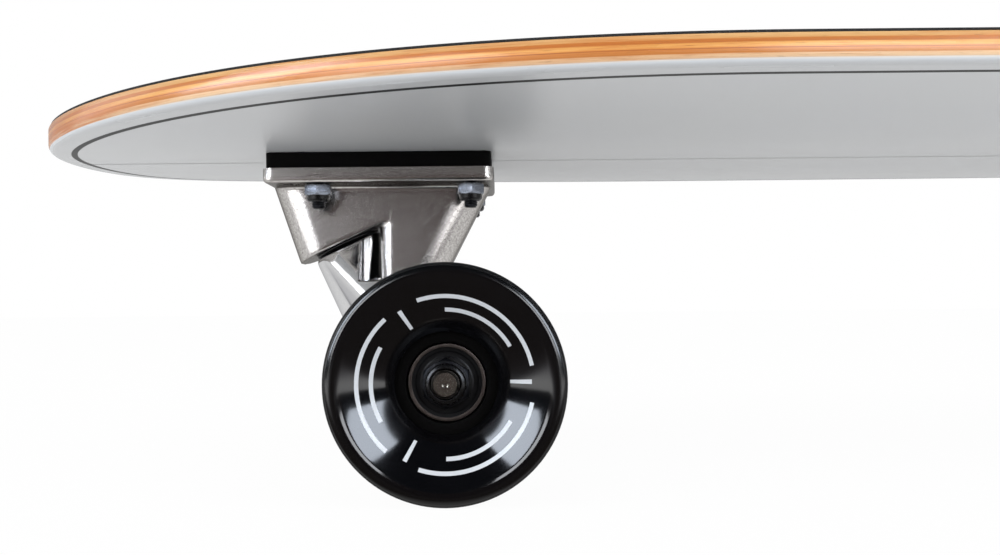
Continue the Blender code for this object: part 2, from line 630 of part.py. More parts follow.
def hanger_solids():
    """The solids that make up the hanger before anything is cut from it."""
    neck_radius = NECK_DIAMETER / 2
    neck_top = SEAT + CUP_RIM_THICKNESS + RUNNING
    nose_radius = CUP_DIAMETER / 2 - CUP_WALL - RUNNING * 1.5
    nose_tip = -CUP_DEPTH + CUP_WALL + RUNNING * 1.5
    neck = revolve([(0, nose_tip), (nose_radius * 0.55, nose_tip), (nose_radius, nose_tip + CUP_WALL * 1.3),
                    (nose_radius, neck_top), (neck_radius - NECK_EDGE_RADIUS, neck_top),
                    (neck_radius, neck_top + NECK_EDGE_RADIUS), (neck_radius, NECK_LENGTH - NECK_END_TAPER),
                    (neck_radius - NECK_END_TAPER, NECK_LENGTH), (0, NECK_LENGTH)], 24, closed=False)
    neck.transform(along(TURN_DOWN, CUP_FACE))
    ring = rod(RING_DIAMETER / 2, RING_TOP - RING_LIP, RING_TOP + RING_THICKNESS + RING_LIP, KINGPIN_DOWN,
               KINGPIN_SEAT, 24)
    return neck, ring


def hull(points):
    """The convex solid round a set of points."""
    shape = bmesh.new()
    verts = [shape.verts.new(point) for point in points]
    made = bmesh.ops.convex_hull(shape, input=verts, use_existing_faces=False)
    spare = {item for key in ("geom_interior", "geom_unused") for item in made[key]
             if isinstance(item, bmesh.types.BMVert)}
    bmesh.ops.delete(shape, geom=list(spare), context="VERTS")
    bmesh.ops.recalc_face_normals(shape, faces=shape.faces)
    return shape


def circle(middle, radius, first, second, steps=12):
    """Points of a circle in the plane of two directions."""
    return [middle + (first * cos(2 * pi * k / steps) + second * sin(2 * pi * k / steps)) * radius
            for k in range(steps)]


def wing(side):
    """One arm of the hanger, from the neck out to the end of the axle barrel."""
    x_way, z_way, y_way = Vector((1, 0, 0)), Vector((0, 0, 1)), Vector((0, 1, 0))
    across = TURN_DOWN.cross(y_way)
    neck_offset = y_way * side * ARM_ROOT_OFFSET
    upper_root = CUP_FACE + TURN_DOWN * ARM_TOP + neck_offset - across * ARM_LEAN
    points = circle(upper_root, ARM_TOP_RADIUS, TURN_DOWN, across, 8)
    points += circle(CUP_FACE + TURN_DOWN * ARM_BOTTOM + neck_offset, ARM_BOTTOM_RADIUS, TURN_DOWN, across, 8)
    barrel_end = Vector((0, side * (HANGER_WIDTH / 2 - ARM_END), -AXLE_DEPTH))
    points += circle(barrel_end, HANGER_END_DIAMETER / 2 - SKIN, x_way, z_way, 8)
    barrel_root = Vector((0, -side * ARM_ROOT_OFFSET, -AXLE_DEPTH))
    points += circle(barrel_root, HANGER_BARREL_DIAMETER / 2 - SKIN, x_way, z_way, 8)
    return hull(points)


def web():
    """The plate of metal between the kingpin ring and the axle barrel."""
    across = KINGPIN_DOWN.cross(Vector((0, 1, 0)))
    ring_middle = KINGPIN_SEAT + KINGPIN_DOWN * RING_MIDDLE
    half = RING_THICKNESS / 2 - WEB_INSET
    points = []
    for offset in (-half, half):
        points += circle(ring_middle + KINGPIN_DOWN * offset, RING_DIAMETER / 2 - SKIN, across,
                         Vector((0, 1, 0)), 12)
    for side in (-1, 1):
        points += circle(Vector((0, side * WEB_HALF_WIDTH, -AXLE_DEPTH)), HANGER_BARREL_DIAMETER / 2 - SKIN,
                         Vector((1, 0, 0)), Vector((0, 0, 1)), 10)
    return hull(points)


def barrel():
    """The round beam that holds the axle, with a shoulder at each end for the bearing."""
    end = HANGER_WIDTH / 2
    shoulder = end + SPEED_WASHER - SEAT
    right = [(0, shoulder), (HANGER_SHOULDER_DIAMETER / 2, shoulder), (HANGER_SHOULDER_DIAMETER / 2, end),
             (HANGER_END_DIAMETER / 2, end), (HANGER_BARREL_DIAMETER / 2, end * BARREL_STRAIGHT)]
    left = [(radius, -height) for radius, height in reversed(right)]
    shape = revolve(right + left, 18, closed=False)
    shape.transform(along(Vector((0, 1, 0)), Vector((0, 0, -AXLE_DEPTH))))
    return shape


def neck_flat(side):
    """The metal that is missing beside the slanted flat behind the neck, on one side."""
    reach = NECK_DIAMETER
    rear_x = NECK_FLAT_FRONT_X + reach * cos(NECK_FLAT_ANGLE)
    rear_y = side * (NECK_FLAT_HALF_WIDTH - reach * sin(NECK_FLAT_ANGLE))
    outline = [(NECK_FLAT_FRONT_X, side * NECK_FLAT_HALF_WIDTH), (rear_x, rear_y), (rear_x, side * reach),
               (NECK_FLAT_FRONT_X, side * reach)]
    return prism(outline, -NECK_FLAT_FOOT, 0)


def hanger_mesh():
    """The hanger: neck, kingpin ring, two arms and the axle barrel, cut free of the casting."""
    neck, ring = hanger_solids()
    cuts = [neck_flat(-1), neck_flat(1)]
    washer_room = []
    for share in (-1, -0.5, 0, 0.5, 1):
        turn = (Matrix.Translation(TURN_CENTRE) @ Matrix.Rotation(share * STEER_RANGE, 4, TURN_DOWN)
                @ Matrix.Translation(-TURN_CENTRE))
        leg_room = kingpin_leg(SWING_CLEARANCE)
        leg_room.transform(turn)
        cuts.append(leg_room)
        washer = rod(BUSHING_DIAMETER / 2 + SEAT + WASHER_THICKNESS + SWING_CLEARANCE, -SWING_CLEARANCE,
                     WASHER_THICKNESS + WASHER_LIP + SWING_CLEARANCE, KINGPIN_DOWN, KINGPIN_SEAT, TRUCK_STEPS)
        washer_room += [turn @ vert.co for vert in washer.verts]
        washer.free()
    cuts.append(hull(washer_room))
    bushing_room = BUSHING_DIAMETER / 2 + SWING_CLEARANCE
    bottom = RING_TOP + RING_THICKNESS
    for radius, start, end in ((bushing_room, -SWING_CLEARANCE, RING_TOP), (bushing_room, bottom, 2 * KINGPIN_END),
                               (RING_BORE / 2, RING_TOP - MM, bottom + MM)):
        cuts.append(rod(radius, start, end, KINGPIN_DOWN, KINGPIN_SEAT, 20))
    cuts.append(rod(AXLE_DIAMETER / 2 + SEAT, -HANGER_WIDTH, HANGER_WIDTH, Vector((0, 1, 0)),
                    Vector((0, 0, -AXLE_DEPTH)), HUB_STEPS))
    # Many slanted cuts meet here, which the exact solver doesn't close.
    whole = combine(neck, [ring, web(), barrel(), wing(-1), wing(1)], cuts, solver="MANIFOLD")
    return finished(whole, "hanger")


def axle_mesh():
    """The steel axle: one rod right through the hanger, chamfered at both ends."""
    radius = AXLE_DIAMETER / 2
    half = AXLE_LENGTH / 2
    shape = revolve([(0, -half), (radius - AXLE_CHAMFER, -half), (radius, -half + AXLE_CHAMFER),
                     (radius, half - AXLE_CHAMFER), (radius - AXLE_CHAMFER, half), (0, half)], HUB_STEPS, closed=False)
    shape.transform(along(Vector((0, 1, 0)), Vector((0, 0, -AXLE_DEPTH))))
    return finished(shape, "axle")


# Wheels, modelled about their own axis: +Z of the profile is the outer side

def dish_radius_points():
    """The dished face of a wheel, from the lip's crest in to the hub mouth: (radius, depth)."""
    crest = WHEEL_DIAMETER / 2 - WHEEL_LIP_RADIUS
    mouth = WHEEL_HUB_MOUTH / 2
    slope = atan2(WHEEL_DISH_DEPTH, crest - mouth)
    steps = 2
    points = []
    for k in range(1, steps + 1):
        angle = slope * k / steps
        points.append((crest - WHEEL_CREST_RADIUS * sin(angle), WHEEL_CREST_RADIUS * (1 - cos(angle))))
    points.append((mouth, WHEEL_DISH_DEPTH))
    return points


def tyre_mesh():
    """The urethane tyre: a flat tread, round lips, dished faces and the seat for its core."""
    radius = WHEEL_DIAMETER / 2
    half = WHEEL_WIDTH / 2
    crest = radius - WHEEL_LIP_RADIUS
    core = CORE_DIAMETER / 2
    core_half = BEARING_OFFSET + BEARING_WIDTH / 2 + CORE_OVERHANG + SEAT
    lip_steps = 2
    outer_side = [(crest + WHEEL_LIP_RADIUS * cos(pi / 2 * k / lip_steps),
                   half - WHEEL_LIP_RADIUS + WHEEL_LIP_RADIUS * sin(pi / 2 * k / lip_steps))
                  for k in range(lip_steps + 1)]
    outer_side += [(r, half - depth) for r, depth in dish_radius_points()]
    outer_side.append((WHEEL_HUB_MOUTH / 2, core_half))
    outer_side.append((core + SEAT, core_half))
    inner_side = [(r, -height) for r, height in reversed(outer_side)]
    return turned(outer_side + inner_side, WHEEL_STEPS, "tyre")


def core_mesh():
    """The wheel's moulded core: two bearing seats and a web between them."""
    outer = CORE_DIAMETER / 2
    half = BEARING_OFFSET + BEARING_WIDTH / 2 + CORE_OVERHANG
    seat = BEARING_DIAMETER / 2 + SEAT
    web = BEARING_SPACING / 2 - SEAT
    outer_side = [(outer, half), (seat, half), (seat, web), (CORE_WEB_BORE / 2, web)]
    inner_side = [(r, -height) for r, height in reversed(outer_side)]
    return turned(outer_side + inner_side, HUB_STEPS, "core")


def bearing_mesh():
    """A shielded ball bearing: its races stand proud of the shield between them."""
    outer = BEARING_DIAMETER / 2
    bore = BEARING_BORE / 2 + RUNNING
    inner_race = bore + BEARING_INNER_RACE
    half = BEARING_WIDTH / 2
    recess = half - BEARING_SHIELD_RECESS
    profile = [(bore, -half), (outer, -half), (outer, half), (outer - BEARING_RACE, half),
               (outer - BEARING_RACE, recess), (inner_race, recess), (inner_race, half), (bore, half)]
    return turned(profile, HUB_STEPS, "bearing")


def turned(profile, steps, name):
    """A closed profile spun round the wheel's axis, which lies along Y with its outer side at -Y."""
    shape = revolve(profile, steps)
    bmesh.ops.rotate(shape, verts=shape.verts, cent=(0, 0, 0), matrix=Matrix.Rotation(pi / 2, 3, "X"))
    return finished(shape, name)


def axle_nut_mesh():
    """The axle's lock nut with its speed washer, hex side towards the bearing."""
    mesh = lock_nut_mesh("axle_nut", AXLE_NUT_FLATS, AXLE_NUT_HEX, AXLE_NUT_COLLAR,
                         AXLE_DIAMETER / 2 + BOLT_CLEARANCE, HUB_STEPS, SPEED_WASHER - SEAT)
    mesh.transform(Matrix.Rotation(-pi / 2, 4, "X"))
    return mesh


def make_wheel(name, side, steer, meshes, finishes):
    """One wheel on its spin axis: tyre, core, two bearings and the axle nut outside them."""
    spin = empty(name + "_wheel_spin", from_side(0, AXLE_DEPTH) + Vector((0, side * WHEEL_MIDDLE_Y, 0))
                 - TURN_CENTRE, steer, 0.0 if side < 0 else pi)
    place(name + "_tyre", meshes["tyre"], finishes["urethane"], spin)
    place(name + "_core", meshes["core"], finishes["core"], spin)
    place(name + "_outer_bearing", meshes["bearing"], finishes["bearing"], spin, (0, -BEARING_OFFSET, 0))
    inner = place(name + "_inner_bearing", meshes["bearing"], finishes["bearing"], spin, (0, BEARING_OFFSET, 0))
    inner.rotation_euler = (0, 0, pi)
    nut_y = -(BEARING_OFFSET + BEARING_WIDTH / 2 + SPEED_WASHER)
    place(name + "_axle_nut", meshes["axle_nut"], finishes["black_steel"], spin, (0, nut_y, 0))


def make_truck(end, axle_x, turn, meshes, finishes):
    """One truck with its wheels, hung from an empty on the deck's underside."""
    base = empty(end + "_truck", (axle_x, 0, DECK_UNDERSIDE), turn=turn)
    place(end + "_riser", meshes["riser"], finishes["rubber"], base)
    place(end + "_baseplate", meshes["baseplate"], finishes["cast_aluminium"], base)
    place(end + "_pivot_cup", meshes["pivot_cup"], finishes["black_urethane"], base)
    place(end + "_kingpin", meshes["kingpin"], finishes["steel"], base)
    place(end + "_upper_washer", meshes["upper_washer"], finishes["black_steel"], base)
    place(end + "_upper_bushing", meshes["upper_bushing"], finishes["black_urethane"], base)
    place(end + "_lower_bushing", meshes["lower_bushing"], finishes["black_urethane"], base)
    place(end + "_lower_washer", meshes["lower_washer"], finishes["steel"], base)
    place(end + "_kingpin_nut", meshes["kingpin_nut"], finishes["steel"], base)
    steer = empty(end + "_steer", TURN_CENTRE, base)
    place(end + "_hanger", meshes["hanger"], finishes["polished_aluminium"], steer, -TURN_CENTRE)
    place(end + "_axle", meshes["axle"], finishes["steel"], steer, -TURN_CENTRE)
    # The rear truck is turned round, so the board's left is its own right.
    left = -1 if turn == 0 else 1
    make_wheel(end + "_left", left, steer, meshes, finishes)
    make_wheel(end + "_right", -left, steer, meshes, finishes)


def main():
    for thing in list(bpy.data.objects):
        bpy.data.objects.remove(thing)
    finishes = {
        "wood": material("maple_and_paint", (0.62, 0.42, 0.22), 0.3),
        "grit": material("grip", (0.02, 0.02, 0.02), 0.95),
        "rubber": material("riser_rubber", (0.012, 0.012, 0.012), 0.7),
        "cast_aluminium": material("cast_aluminium", (0.56, 0.54, 0.52), 0.38, 1.0),
        "polished_aluminium": material("polished_aluminium", (0.8, 0.8, 0.8), 0.12, 1.0),
        "steel": material("bare_steel", (0.5, 0.48, 0.46), 0.32, 1.0),
        "black_steel": material("black_steel", (0.02, 0.02, 0.022), 0.3, 0.6),
        "black_urethane": material("black_urethane", (0.01, 0.01, 0.01), 0.45),
        "urethane": material("wheel_urethane", (0.006, 0.006, 0.008), 0.12),
        "core": material("wheel_core", (0.012, 0.012, 0.012), 0.5),
        "bearing": material("bearing_steel", (0.16, 0.15, 0.145), 0.35, 0.9),
    }
    make_deck(finishes["wood"], finishes["grit"])
    bolt = bolt_mesh()
    lock_nut = lock_nut_mesh("lock_nut", LOCK_NUT_FLATS, LOCK_NUT_HEX, LOCK_NUT_COLLAR, BOLT_HOLE_RADIUS,
                             BOLT_STEPS)
    for end, number, x, y in bolt_places():
        place(f"{end}_bolt_{number}", bolt, finishes["black_steel"],
              at=(x, y, DECK_UNDERSIDE + DECK_THICKNESS))
        place(f"{end}_lock_nut_{number}", lock_nut, finishes["black_steel"],
              at=(x, y, DECK_UNDERSIDE - PLATE_BOTTOM - SEAT))
    meshes = {
        "riser": riser_mesh(),
        "baseplate": baseplate_mesh(),
        "pivot_cup": pivot_cup_mesh(),
        "kingpin": kingpin_mesh(),
        "upper_washer": washer_mesh(SEAT, BUSHING_DIAMETER, 1),
        "upper_bushing": bushing_mesh(UPPER_BUSHING_TOP, UPPER_BUSHING_HEIGHT, BUSHING_DIAMETER),
        "lower_bushing": bushing_mesh(LOWER_BUSHING_TOP, LOWER_BUSHING_HEIGHT, LOWER_BUSHING_END),
        "lower_washer": washer_mesh(LOWER_WASHER_TOP, LOWER_BUSHING_END, -1),
        "kingpin_nut": kingpin_nut_mesh(),
        "hanger": hanger_mesh(),
        "axle": axle_mesh(),
        "tyre": tyre_mesh(),
        "core": core_mesh(),
        "bearing": bearing_mesh(),
        "axle_nut": axle_nut_mesh(),
    }
    make_truck("front", FRONT_AXLE_X, 0.0, meshes, finishes)
    make_truck("rear", REAR_AXLE_X, pi, meshes, finishes)


main()
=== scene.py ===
"""A surf-style skateboard, dressed for its picture.

It goes together from the deck down: deck, grip sheet, riser pads, bolts, trucks and wheels, and
then the studio. Metres, +Z up, nose towards -X; the camera looks along +Y at the left side.
"""
from math import atan2, copysign, cos, degrees, hypot, pi, radians, sin, tan

import bmesh
import bpy
from mathutils import Matrix, Vector
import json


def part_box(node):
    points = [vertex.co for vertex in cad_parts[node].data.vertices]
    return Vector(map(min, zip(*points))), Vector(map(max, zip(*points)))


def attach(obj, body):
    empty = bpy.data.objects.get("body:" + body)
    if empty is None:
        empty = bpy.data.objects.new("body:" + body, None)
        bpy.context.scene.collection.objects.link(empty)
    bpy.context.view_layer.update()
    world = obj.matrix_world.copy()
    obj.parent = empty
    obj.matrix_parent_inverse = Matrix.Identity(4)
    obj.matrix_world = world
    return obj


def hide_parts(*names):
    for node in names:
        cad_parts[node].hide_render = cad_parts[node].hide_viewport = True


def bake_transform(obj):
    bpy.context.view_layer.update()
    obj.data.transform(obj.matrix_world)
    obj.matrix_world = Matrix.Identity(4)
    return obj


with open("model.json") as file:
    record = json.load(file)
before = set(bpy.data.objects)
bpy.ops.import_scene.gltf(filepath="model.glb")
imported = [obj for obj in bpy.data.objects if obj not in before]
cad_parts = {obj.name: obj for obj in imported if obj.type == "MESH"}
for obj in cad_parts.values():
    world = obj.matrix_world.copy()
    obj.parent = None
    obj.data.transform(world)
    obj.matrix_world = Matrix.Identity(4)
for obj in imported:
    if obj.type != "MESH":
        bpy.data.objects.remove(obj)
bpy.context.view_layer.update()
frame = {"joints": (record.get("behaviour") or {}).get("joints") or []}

# Deck
# Seven maple plies pressed into a flat middle with lifted flanks, cut to an oval and rounded over.
# The underside is sprayed light grey up over the lower round, with a thin pinstripe near the edge
# and a faint line down the middle. The edge is clear lacquer over the bare plies.

MM = 0.001
deck_low, deck_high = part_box("deck")
UNDERSIDE = deck_low.z
HALF_WIDTH = deck_high.y
WIDEST_X = deck_low.x + 240 * MM
NOSE_FULLNESS = 2.13
TAIL_FULLNESS = 2.7
DECK_THICKNESS = 8.4 * MM
FLAT_HALF_WIDTH = 30 * MM
FLANK_END = 152 * MM
CONCAVE_RISE = 7.2 * MM
LOWER_ROUND = 2.6 * MM
UPPER_ROUND = 0.8 * MM
PINSTRIPE_INSET = 7.3 * MM
PINSTRIPE_WIDTH = 2.1 * MM
CENTRE_LINE_WIDTH = 2.2 * MM
PAINT_HEIGHT = 1.75             # millimetres above the underside
CROWN_MIDDLE = 5.0              # millimetres above the underside, as the next one
CROWN_HALF_WIDTH = 3.4
CROWN_RISE = 0.36 * MM
BORDER_START = 0.3 * MM         # from the lower round to the first line of the painted border
FLANK_STRIPS = 40               # of the grid that the press bends
GRID_STEP = 25 * MM
GRID_LINES = 16                 # to each side of the middle


class Socket:
    """A node's output, with arithmetic: an expression on it adds the Math nodes that it needs."""

    def __init__(self, nodes, output):
        self.nodes = nodes
        self.output = output

    def math(self, operation, *values):
        return self.nodes.node("ShaderNodeMath", {"operation": operation}, dict(enumerate(values)))

    def __add__(self, other):
        return self.math("ADD", self, other)

    def __radd__(self, other):
        return self.math("ADD", other, self)

    def __sub__(self, other):
        return self.math("SUBTRACT", self, other)

    def __rsub__(self, other):
        return self.math("SUBTRACT", other, self)

    def __mul__(self, other):
        return self.math("MULTIPLY", self, other)

    def __rmul__(self, other):
        return self.math("MULTIPLY", other, self)

    def __truediv__(self, other):
        return self.math("DIVIDE", self, other)

    def __abs__(self):
        return self.math("ABSOLUTE", self)

    def above(self, edge, blur):
        """A mask that goes from 0 to 1 over a blur round an edge."""
        return self.nodes.node("ShaderNodeMapRange", {"interpolation_type": "SMOOTHSTEP"},
                               {0: self, 1: edge - blur / 2, 2: edge + blur / 2, 3: 0.0, 4: 1.0})


def screen(code):
    """The linear colour that shows as a screen colour such as 0xc8caca."""
    parts = [(code >> shift & 255) / 255 for shift in (16, 8, 0)]
    return tuple(p / 12.92 if p <= 0.04045 else ((p + 0.055) / 1.055) ** 2.4 for p in parts) + (1.0,)


class Nodes:
    """A node tree, whose nodes are added by expressions."""

    def __init__(self, tree):
        self.tree = tree

    def feed(self, socket, value):
        """Link a node's output to a socket, or set it to a constant; a colour may be a screen colour's code."""
        if isinstance(value, Socket):
            self.tree.links.new(value.output, socket)
        elif socket.type == "RGBA" and isinstance(value, int):
            socket.default_value = screen(value)
        else:
            socket.default_value = value

    def node(self, kind, settings=None, inputs=None, output=0):
        """Add a node: first its settings, or a ramp's stops, then the values of its sockets."""
        node = self.tree.nodes.new(kind)
        for key, value in (settings or {}).items():
            if key == "stops":
                band = node.color_ramp.elements
                while len(band) < len(value):
                    band.new(1.0)
                for element, (position, colour) in zip(band, value):
                    element.position = position
                    element.color = screen(colour)
            else:
                setattr(node, key, value)
        for key, value in (inputs or {}).items():
            self.feed(node.inputs[key], value)
        return Socket(self, node.outputs[output])

    def place(self):
        """The X, Y and Z of the object's own coordinates, in millimetres."""
        point = self.node("ShaderNodeTexCoord", output="Object")
        return [self.node("ShaderNodeSeparateXYZ", None, {0: point}, axis) / MM for axis in "XYZ"]

    def noise(self, x, y, z, detail=3.0, roughness=0.5):
        """Smooth noise between 0 and 1 at a point that is given by three numbers."""
        point = self.node("ShaderNodeCombineXYZ", None, {0: x, 1: y, 2: z})
        return self.node("ShaderNodeTexNoise", None,
                         {"Vector": point, "Scale": 1.0, "Detail": detail, "Roughness": roughness})

    def grain(self, sizes, **settings):
        """Noise over the object's own coordinates, with one size or three in millimetres."""
        sizes = sizes if isinstance(sizes, tuple) else (sizes,) * 3
        return self.noise(*[place / size for place, size in zip(self.place(), sizes)], **settings)

    def mix(self, factor, first, second):
        """A colour between two others."""
        return self.node("ShaderNodeMix", {"data_type": "RGBA"}, {0: factor, 6: first, 7: second}, 2)

    def ramp(self, value, *stops):
        """A colour that runs through (place, colour) stops."""
        return self.node("ShaderNodeValToRGB", {"stops": stops}, {0: value})


class Finish(Nodes):
    """A material with one Principled shader."""

    def __init__(self, name, **constants):
        self.material = bpy.data.materials.new(name)
        self.material.use_nodes = True
        super().__init__(self.material.node_tree)
        self.shader = self.tree.nodes["Principled BSDF"]
        self.set(**constants)

    def set(self, **sockets):
        """Feed the shader's sockets, and give back the finish."""
        for socket, value in sockets.items():
            self.feed(self.shader.inputs[socket.replace("_", " ")], value)
        return self

    def surface(self, output):
        """Take another node than the shader for the surface."""
        self.feed(self.tree.nodes["Material Output"].inputs["Surface"], output)

    def bumps(self, height, depth):
        """Let a height between 0 and 1 tilt the surface, as relief of a depth in metres."""
        relief = self.node("ShaderNodeBump", None, {"Strength": 1.0, "Distance": depth, "Height": height})
        return self.set(Normal=relief)


def speckled(name, grain, first, second, roughness, spread=0.0, relief=0.0, detail=3.0, **constants):
    """A finish that follows one noise, of a grain in millimetres, from a first colour to a second.

    The roughness grows by its spread with the noise, and the relief is its depth in metres.
    """
    finish = Finish(name, **constants)
    noise = finish.grain(grain, detail=detail)
    finish.set(Base_Color=finish.mix(noise, first, second),
               Roughness=roughness + spread * noise if spread else roughness)
    return finish.bumps(noise, relief) if relief else finish


def linked(name, data):
    """An object of the scene with some data."""
    thing = bpy.data.objects.new(name, data)
    bpy.context.collection.objects.link(thing)
    return thing


def placed(name, shape, *finishes):
    """Turn a bmesh into an object of the scene with some finishes."""
    mesh = bpy.data.meshes.new(name)
    shape.to_mesh(mesh)
    shape.free()
    for finish in finishes:
        mesh.materials.append(finish.material)
    return linked(name, mesh)


def show(name, shape, finishes, body, slot, *stands_for, sharp=35, bend=None):
    """Turn a bmesh into a piece that rides on a body; given a bend, it is left on no body, and the bend's points
    are not used.
    """
    piece = placed(name, shape, *finishes)
    piece.data.shade_smooth()
    piece.data.set_sharp_from_angle(angle=radians(sharp))
    if bend:
        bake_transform(piece)
    else:
        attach(piece, body)
    if stands_for:
        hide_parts(*stands_for)
    return piece


def turned(profile, steps=64, closed=True):
    """A solid turned round Z from (radius, height) points; an open profile ends on the axis."""
    shape = bmesh.new()
    points = [shape.verts.new((radius, 0, height)) for radius, height in profile]
    ends = points[1:] + points[:1] if closed else points[1:]
    edges = [shape.edges.new(pair) for pair in zip(points, ends)]
    bmesh.ops.spin(shape, geom=points + edges, cent=(0, 0, 0), axis=(0, 0, 1), dvec=(0, 0, 0),
                   angle=2 * pi, steps=steps, use_merge=True)
    bmesh.ops.remove_doubles(shape, verts=shape.verts, dist=1e-7)
    bmesh.ops.recalc_face_normals(shape, faces=shape.faces)
    return shape


def both_sides(profile):
    """A (radius, height) profile that starts at the top, with its mirror image below."""
    return profile + [(radius, -height) for radius, height in reversed(profile)]


def round_edges(shape, edges, radius, segments, clamp=False):
    """Round some edges, each over a number of segments."""
    bmesh.ops.bevel(shape, geom=edges, offset=radius, segments=segments, profile=0.5, affect="EDGES",
                    offset_type="OFFSET", clamp_overlap=clamp, material=-1)
    return shape


def softened(shape, width, segments=2, angle=30):
    """Round the edges that are sharper than an angle in degrees."""
    edges = [edge for edge in shape.edges if edge.is_manifold and edge.calc_face_angle() > radians(angle)]
    return round_edges(shape, edges, width, segments, clamp=True)


def moved(shape, offset):
    """Move a shape."""
    bmesh.ops.translate(shape, verts=shape.verts, vec=offset)
    return shape


def only_verts(items):
    """The vertices among some parts of a shape."""
    return [item for item in items if isinstance(item, bmesh.types.BMVert)]


def thickened(shape, face, offset):
    """Make a solid of a face, as far as an offset."""
    far = bmesh.ops.extrude_face_region(shape, geom=[face], use_keep_orig=True)["geom"]
    bmesh.ops.translate(shape, verts=only_verts(far), vec=offset)
    bmesh.ops.recalc_face_normals(shape, faces=shape.faces)
    return shape


def joined(*shapes):
    """All the bodies of some shapes in one, as they are."""
    whole = bmesh.new()
    for shape in shapes:
        part = bpy.data.meshes.new("part")
        shape.to_mesh(part)
        shape.free()
        whole.from_mesh(part)
        bpy.data.meshes.remove(part)
    return whole


def worked(shape, *steps):
    """Put a shape through modifiers, each a (kind, settings) pair, and give back the result."""
    helpers = []

    def helper(source):
        helpers.append(placed("helper", source))
        return helpers[-1]

    target = helper(shape)
    for kind, settings in steps:
        modifier = target.modifiers.new(kind.lower(), kind)
        for key, value in settings.items():
            setattr(modifier, key, helper(value) if key == "object" else value)
    evaluated = target.evaluated_get(bpy.context.evaluated_depsgraph_get())
    mesh = bpy.data.meshes.new_from_object(evaluated)
    for thing in helpers:
        bpy.data.objects.remove(thing)
    result = bmesh.new()
    result.from_mesh(mesh)
    bpy.data.meshes.remove(mesh)
    return result


def boolean(operation, other, solver="EXACT"):
    """The step that joins, cuts or intersects a shape with another."""
    return "BOOLEAN", {"operation": operation, "solver": solver, "object": other}


def carved(shape, *cutters, solver="EXACT"):
    """Cut solids from a shape."""
    return worked(shape, *[boolean("DIFFERENCE", cutter, solver) for cutter in cutters])


def deck_rise(y):
    """How far the flank lifts the deck at a distance from its middle line."""
    share = min(max((abs(y) - FLAT_HALF_WIDTH) / (FLANK_END - FLAT_HALF_WIDTH), 0), 1)
    return CONCAVE_RISE * share * share * (3 - 2 * share)


def deck_sheet(inset, bottom, top):
    """A flat sheet with the deck's plan, less an inset."""
    shape = bmesh.new()
    circle = bmesh.ops.create_circle(shape, cap_ends=True, segments=256, radius=1.0)["verts"]
    for vert in circle:
        nose = vert.co.x < 0
        reach = abs(vert.co.x) if nose else abs(vert.co.x) ** (2 / TAIL_FULLNESS)
        end = deck_low.x + inset if nose else deck_high.x - inset
        spread = abs(vert.co.y) ** (2 / (NOSE_FULLNESS if nose else TAIL_FULLNESS))
        vert.co = (WIDEST_X + (end - WIDEST_X) * reach, copysign(spread, vert.co.y) * (HALF_WIDTH - inset),
                   bottom)
    return thickened(shape, shape.faces[:][0], (0, 0, top - bottom))


def round_rim(shape, height, radius, segments):
    """Round the rim of a sheet at one of its faces."""
    rim = [edge for edge in shape.edges if all(abs(vert.co.z - height) < 1e-6 for vert in edge.verts)]
    round_edges(shape, rim, radius, segments)


def press(shape, *more_lines):
    """Cut a flat sheet into a grid, and lift its flanks as the press does."""
    lines = [FLAT_HALF_WIDTH + (HALF_WIDTH - FLAT_HALF_WIDTH) * k / FLANK_STRIPS for k in range(FLANK_STRIPS)]
    cuts = [((0, side * y, 0), (0, 1, 0)) for y in (*lines, *more_lines) for side in (-1, 1)]
    cuts += [((GRID_STEP * k, 0, 0), (1, 0, 0)) for k in range(-GRID_LINES, GRID_LINES + 1)]
    for point, normal in cuts:
        bmesh.ops.bisect_plane(shape, geom=shape.verts[:] + shape.edges[:] + shape.faces[:],
                               plane_co=point, plane_no=normal, dist=1e-7)
    for vert in shape.verts:
        vert.co.z += UNDERSIDE + deck_rise(vert.co.y)


deck = deck_sheet(0, 0, DECK_THICKNESS)
round_rim(deck, 0, LOWER_ROUND, 6)
round_rim(deck, DECK_THICKNESS, UPPER_ROUND, 2)
panel = min(deck.faces, key=lambda face: face.calc_center_median().z)
bmesh.ops.inset_region(deck, faces=[panel], thickness=BORDER_START, use_even_offset=True)
for width, material in ((PINSTRIPE_INSET - LOWER_ROUND - BORDER_START, 3), (PINSTRIPE_WIDTH, 1)):
    border = bmesh.ops.inset_region(deck, faces=[panel], thickness=width, use_even_offset=True)
    for face in border["faces"]:
        face.material_index = material
panel.material_index = 2
press(deck, CENTRE_LINE_WIDTH / 2)
for face in deck.faces:
    if face.material_index == 2 and abs(face.calc_center_median().y) > CENTRE_LINE_WIDTH / 2:
        face.material_index = 3

lacquer = Finish("painted_maple", IOR=1.5)
x, y, z = lacquer.place()
lift = lacquer.node("ShaderNodeMapRange", {"interpolation_type": "SMOOTHSTEP"},
                    {0: abs(y), 1: FLAT_HALF_WIDTH / MM, 2: FLANK_END / MM, 3: 0.0, 4: CONCAVE_RISE / MM})
height = z - UNDERSIDE / MM - lift
waves = lacquer.noise(x / 60, y / 60, height / 3, detail=2.0)
wavy = height + (waves - 0.5) * 0.5
plies = lacquer.ramp(wavy / (DECK_THICKNESS / MM), (0.19, 0xf0d0aa), (0.34, 0xebc294),
                     (0.37, 0xc67f3d), (0.50, 0xd08844), (0.525, 0x96542a),
                     (0.55, 0xe39a4c), (0.60, 0xf0b765), (0.68, 0xeaab5b),
                     (0.71, 0xba6e30), (0.80, 0xc67a38), (0.83, 0xdfab6c),
                     (0.97, 0xe6bb82), (1.0, 0x8a6236))
streaks = lacquer.noise(x / 16, y / 16, height * 2.2, detail=4.0, roughness=0.6)
patches = lacquer.noise(x / 90 + 7.3, y / 90, height / 6, detail=1.0)
end_grain = (0 - x).above(372, 90)
orange = (patches.above(0.52, 0.3) * 0.55 + end_grain * 0.6) * streaks.above(0.45, 0.5)
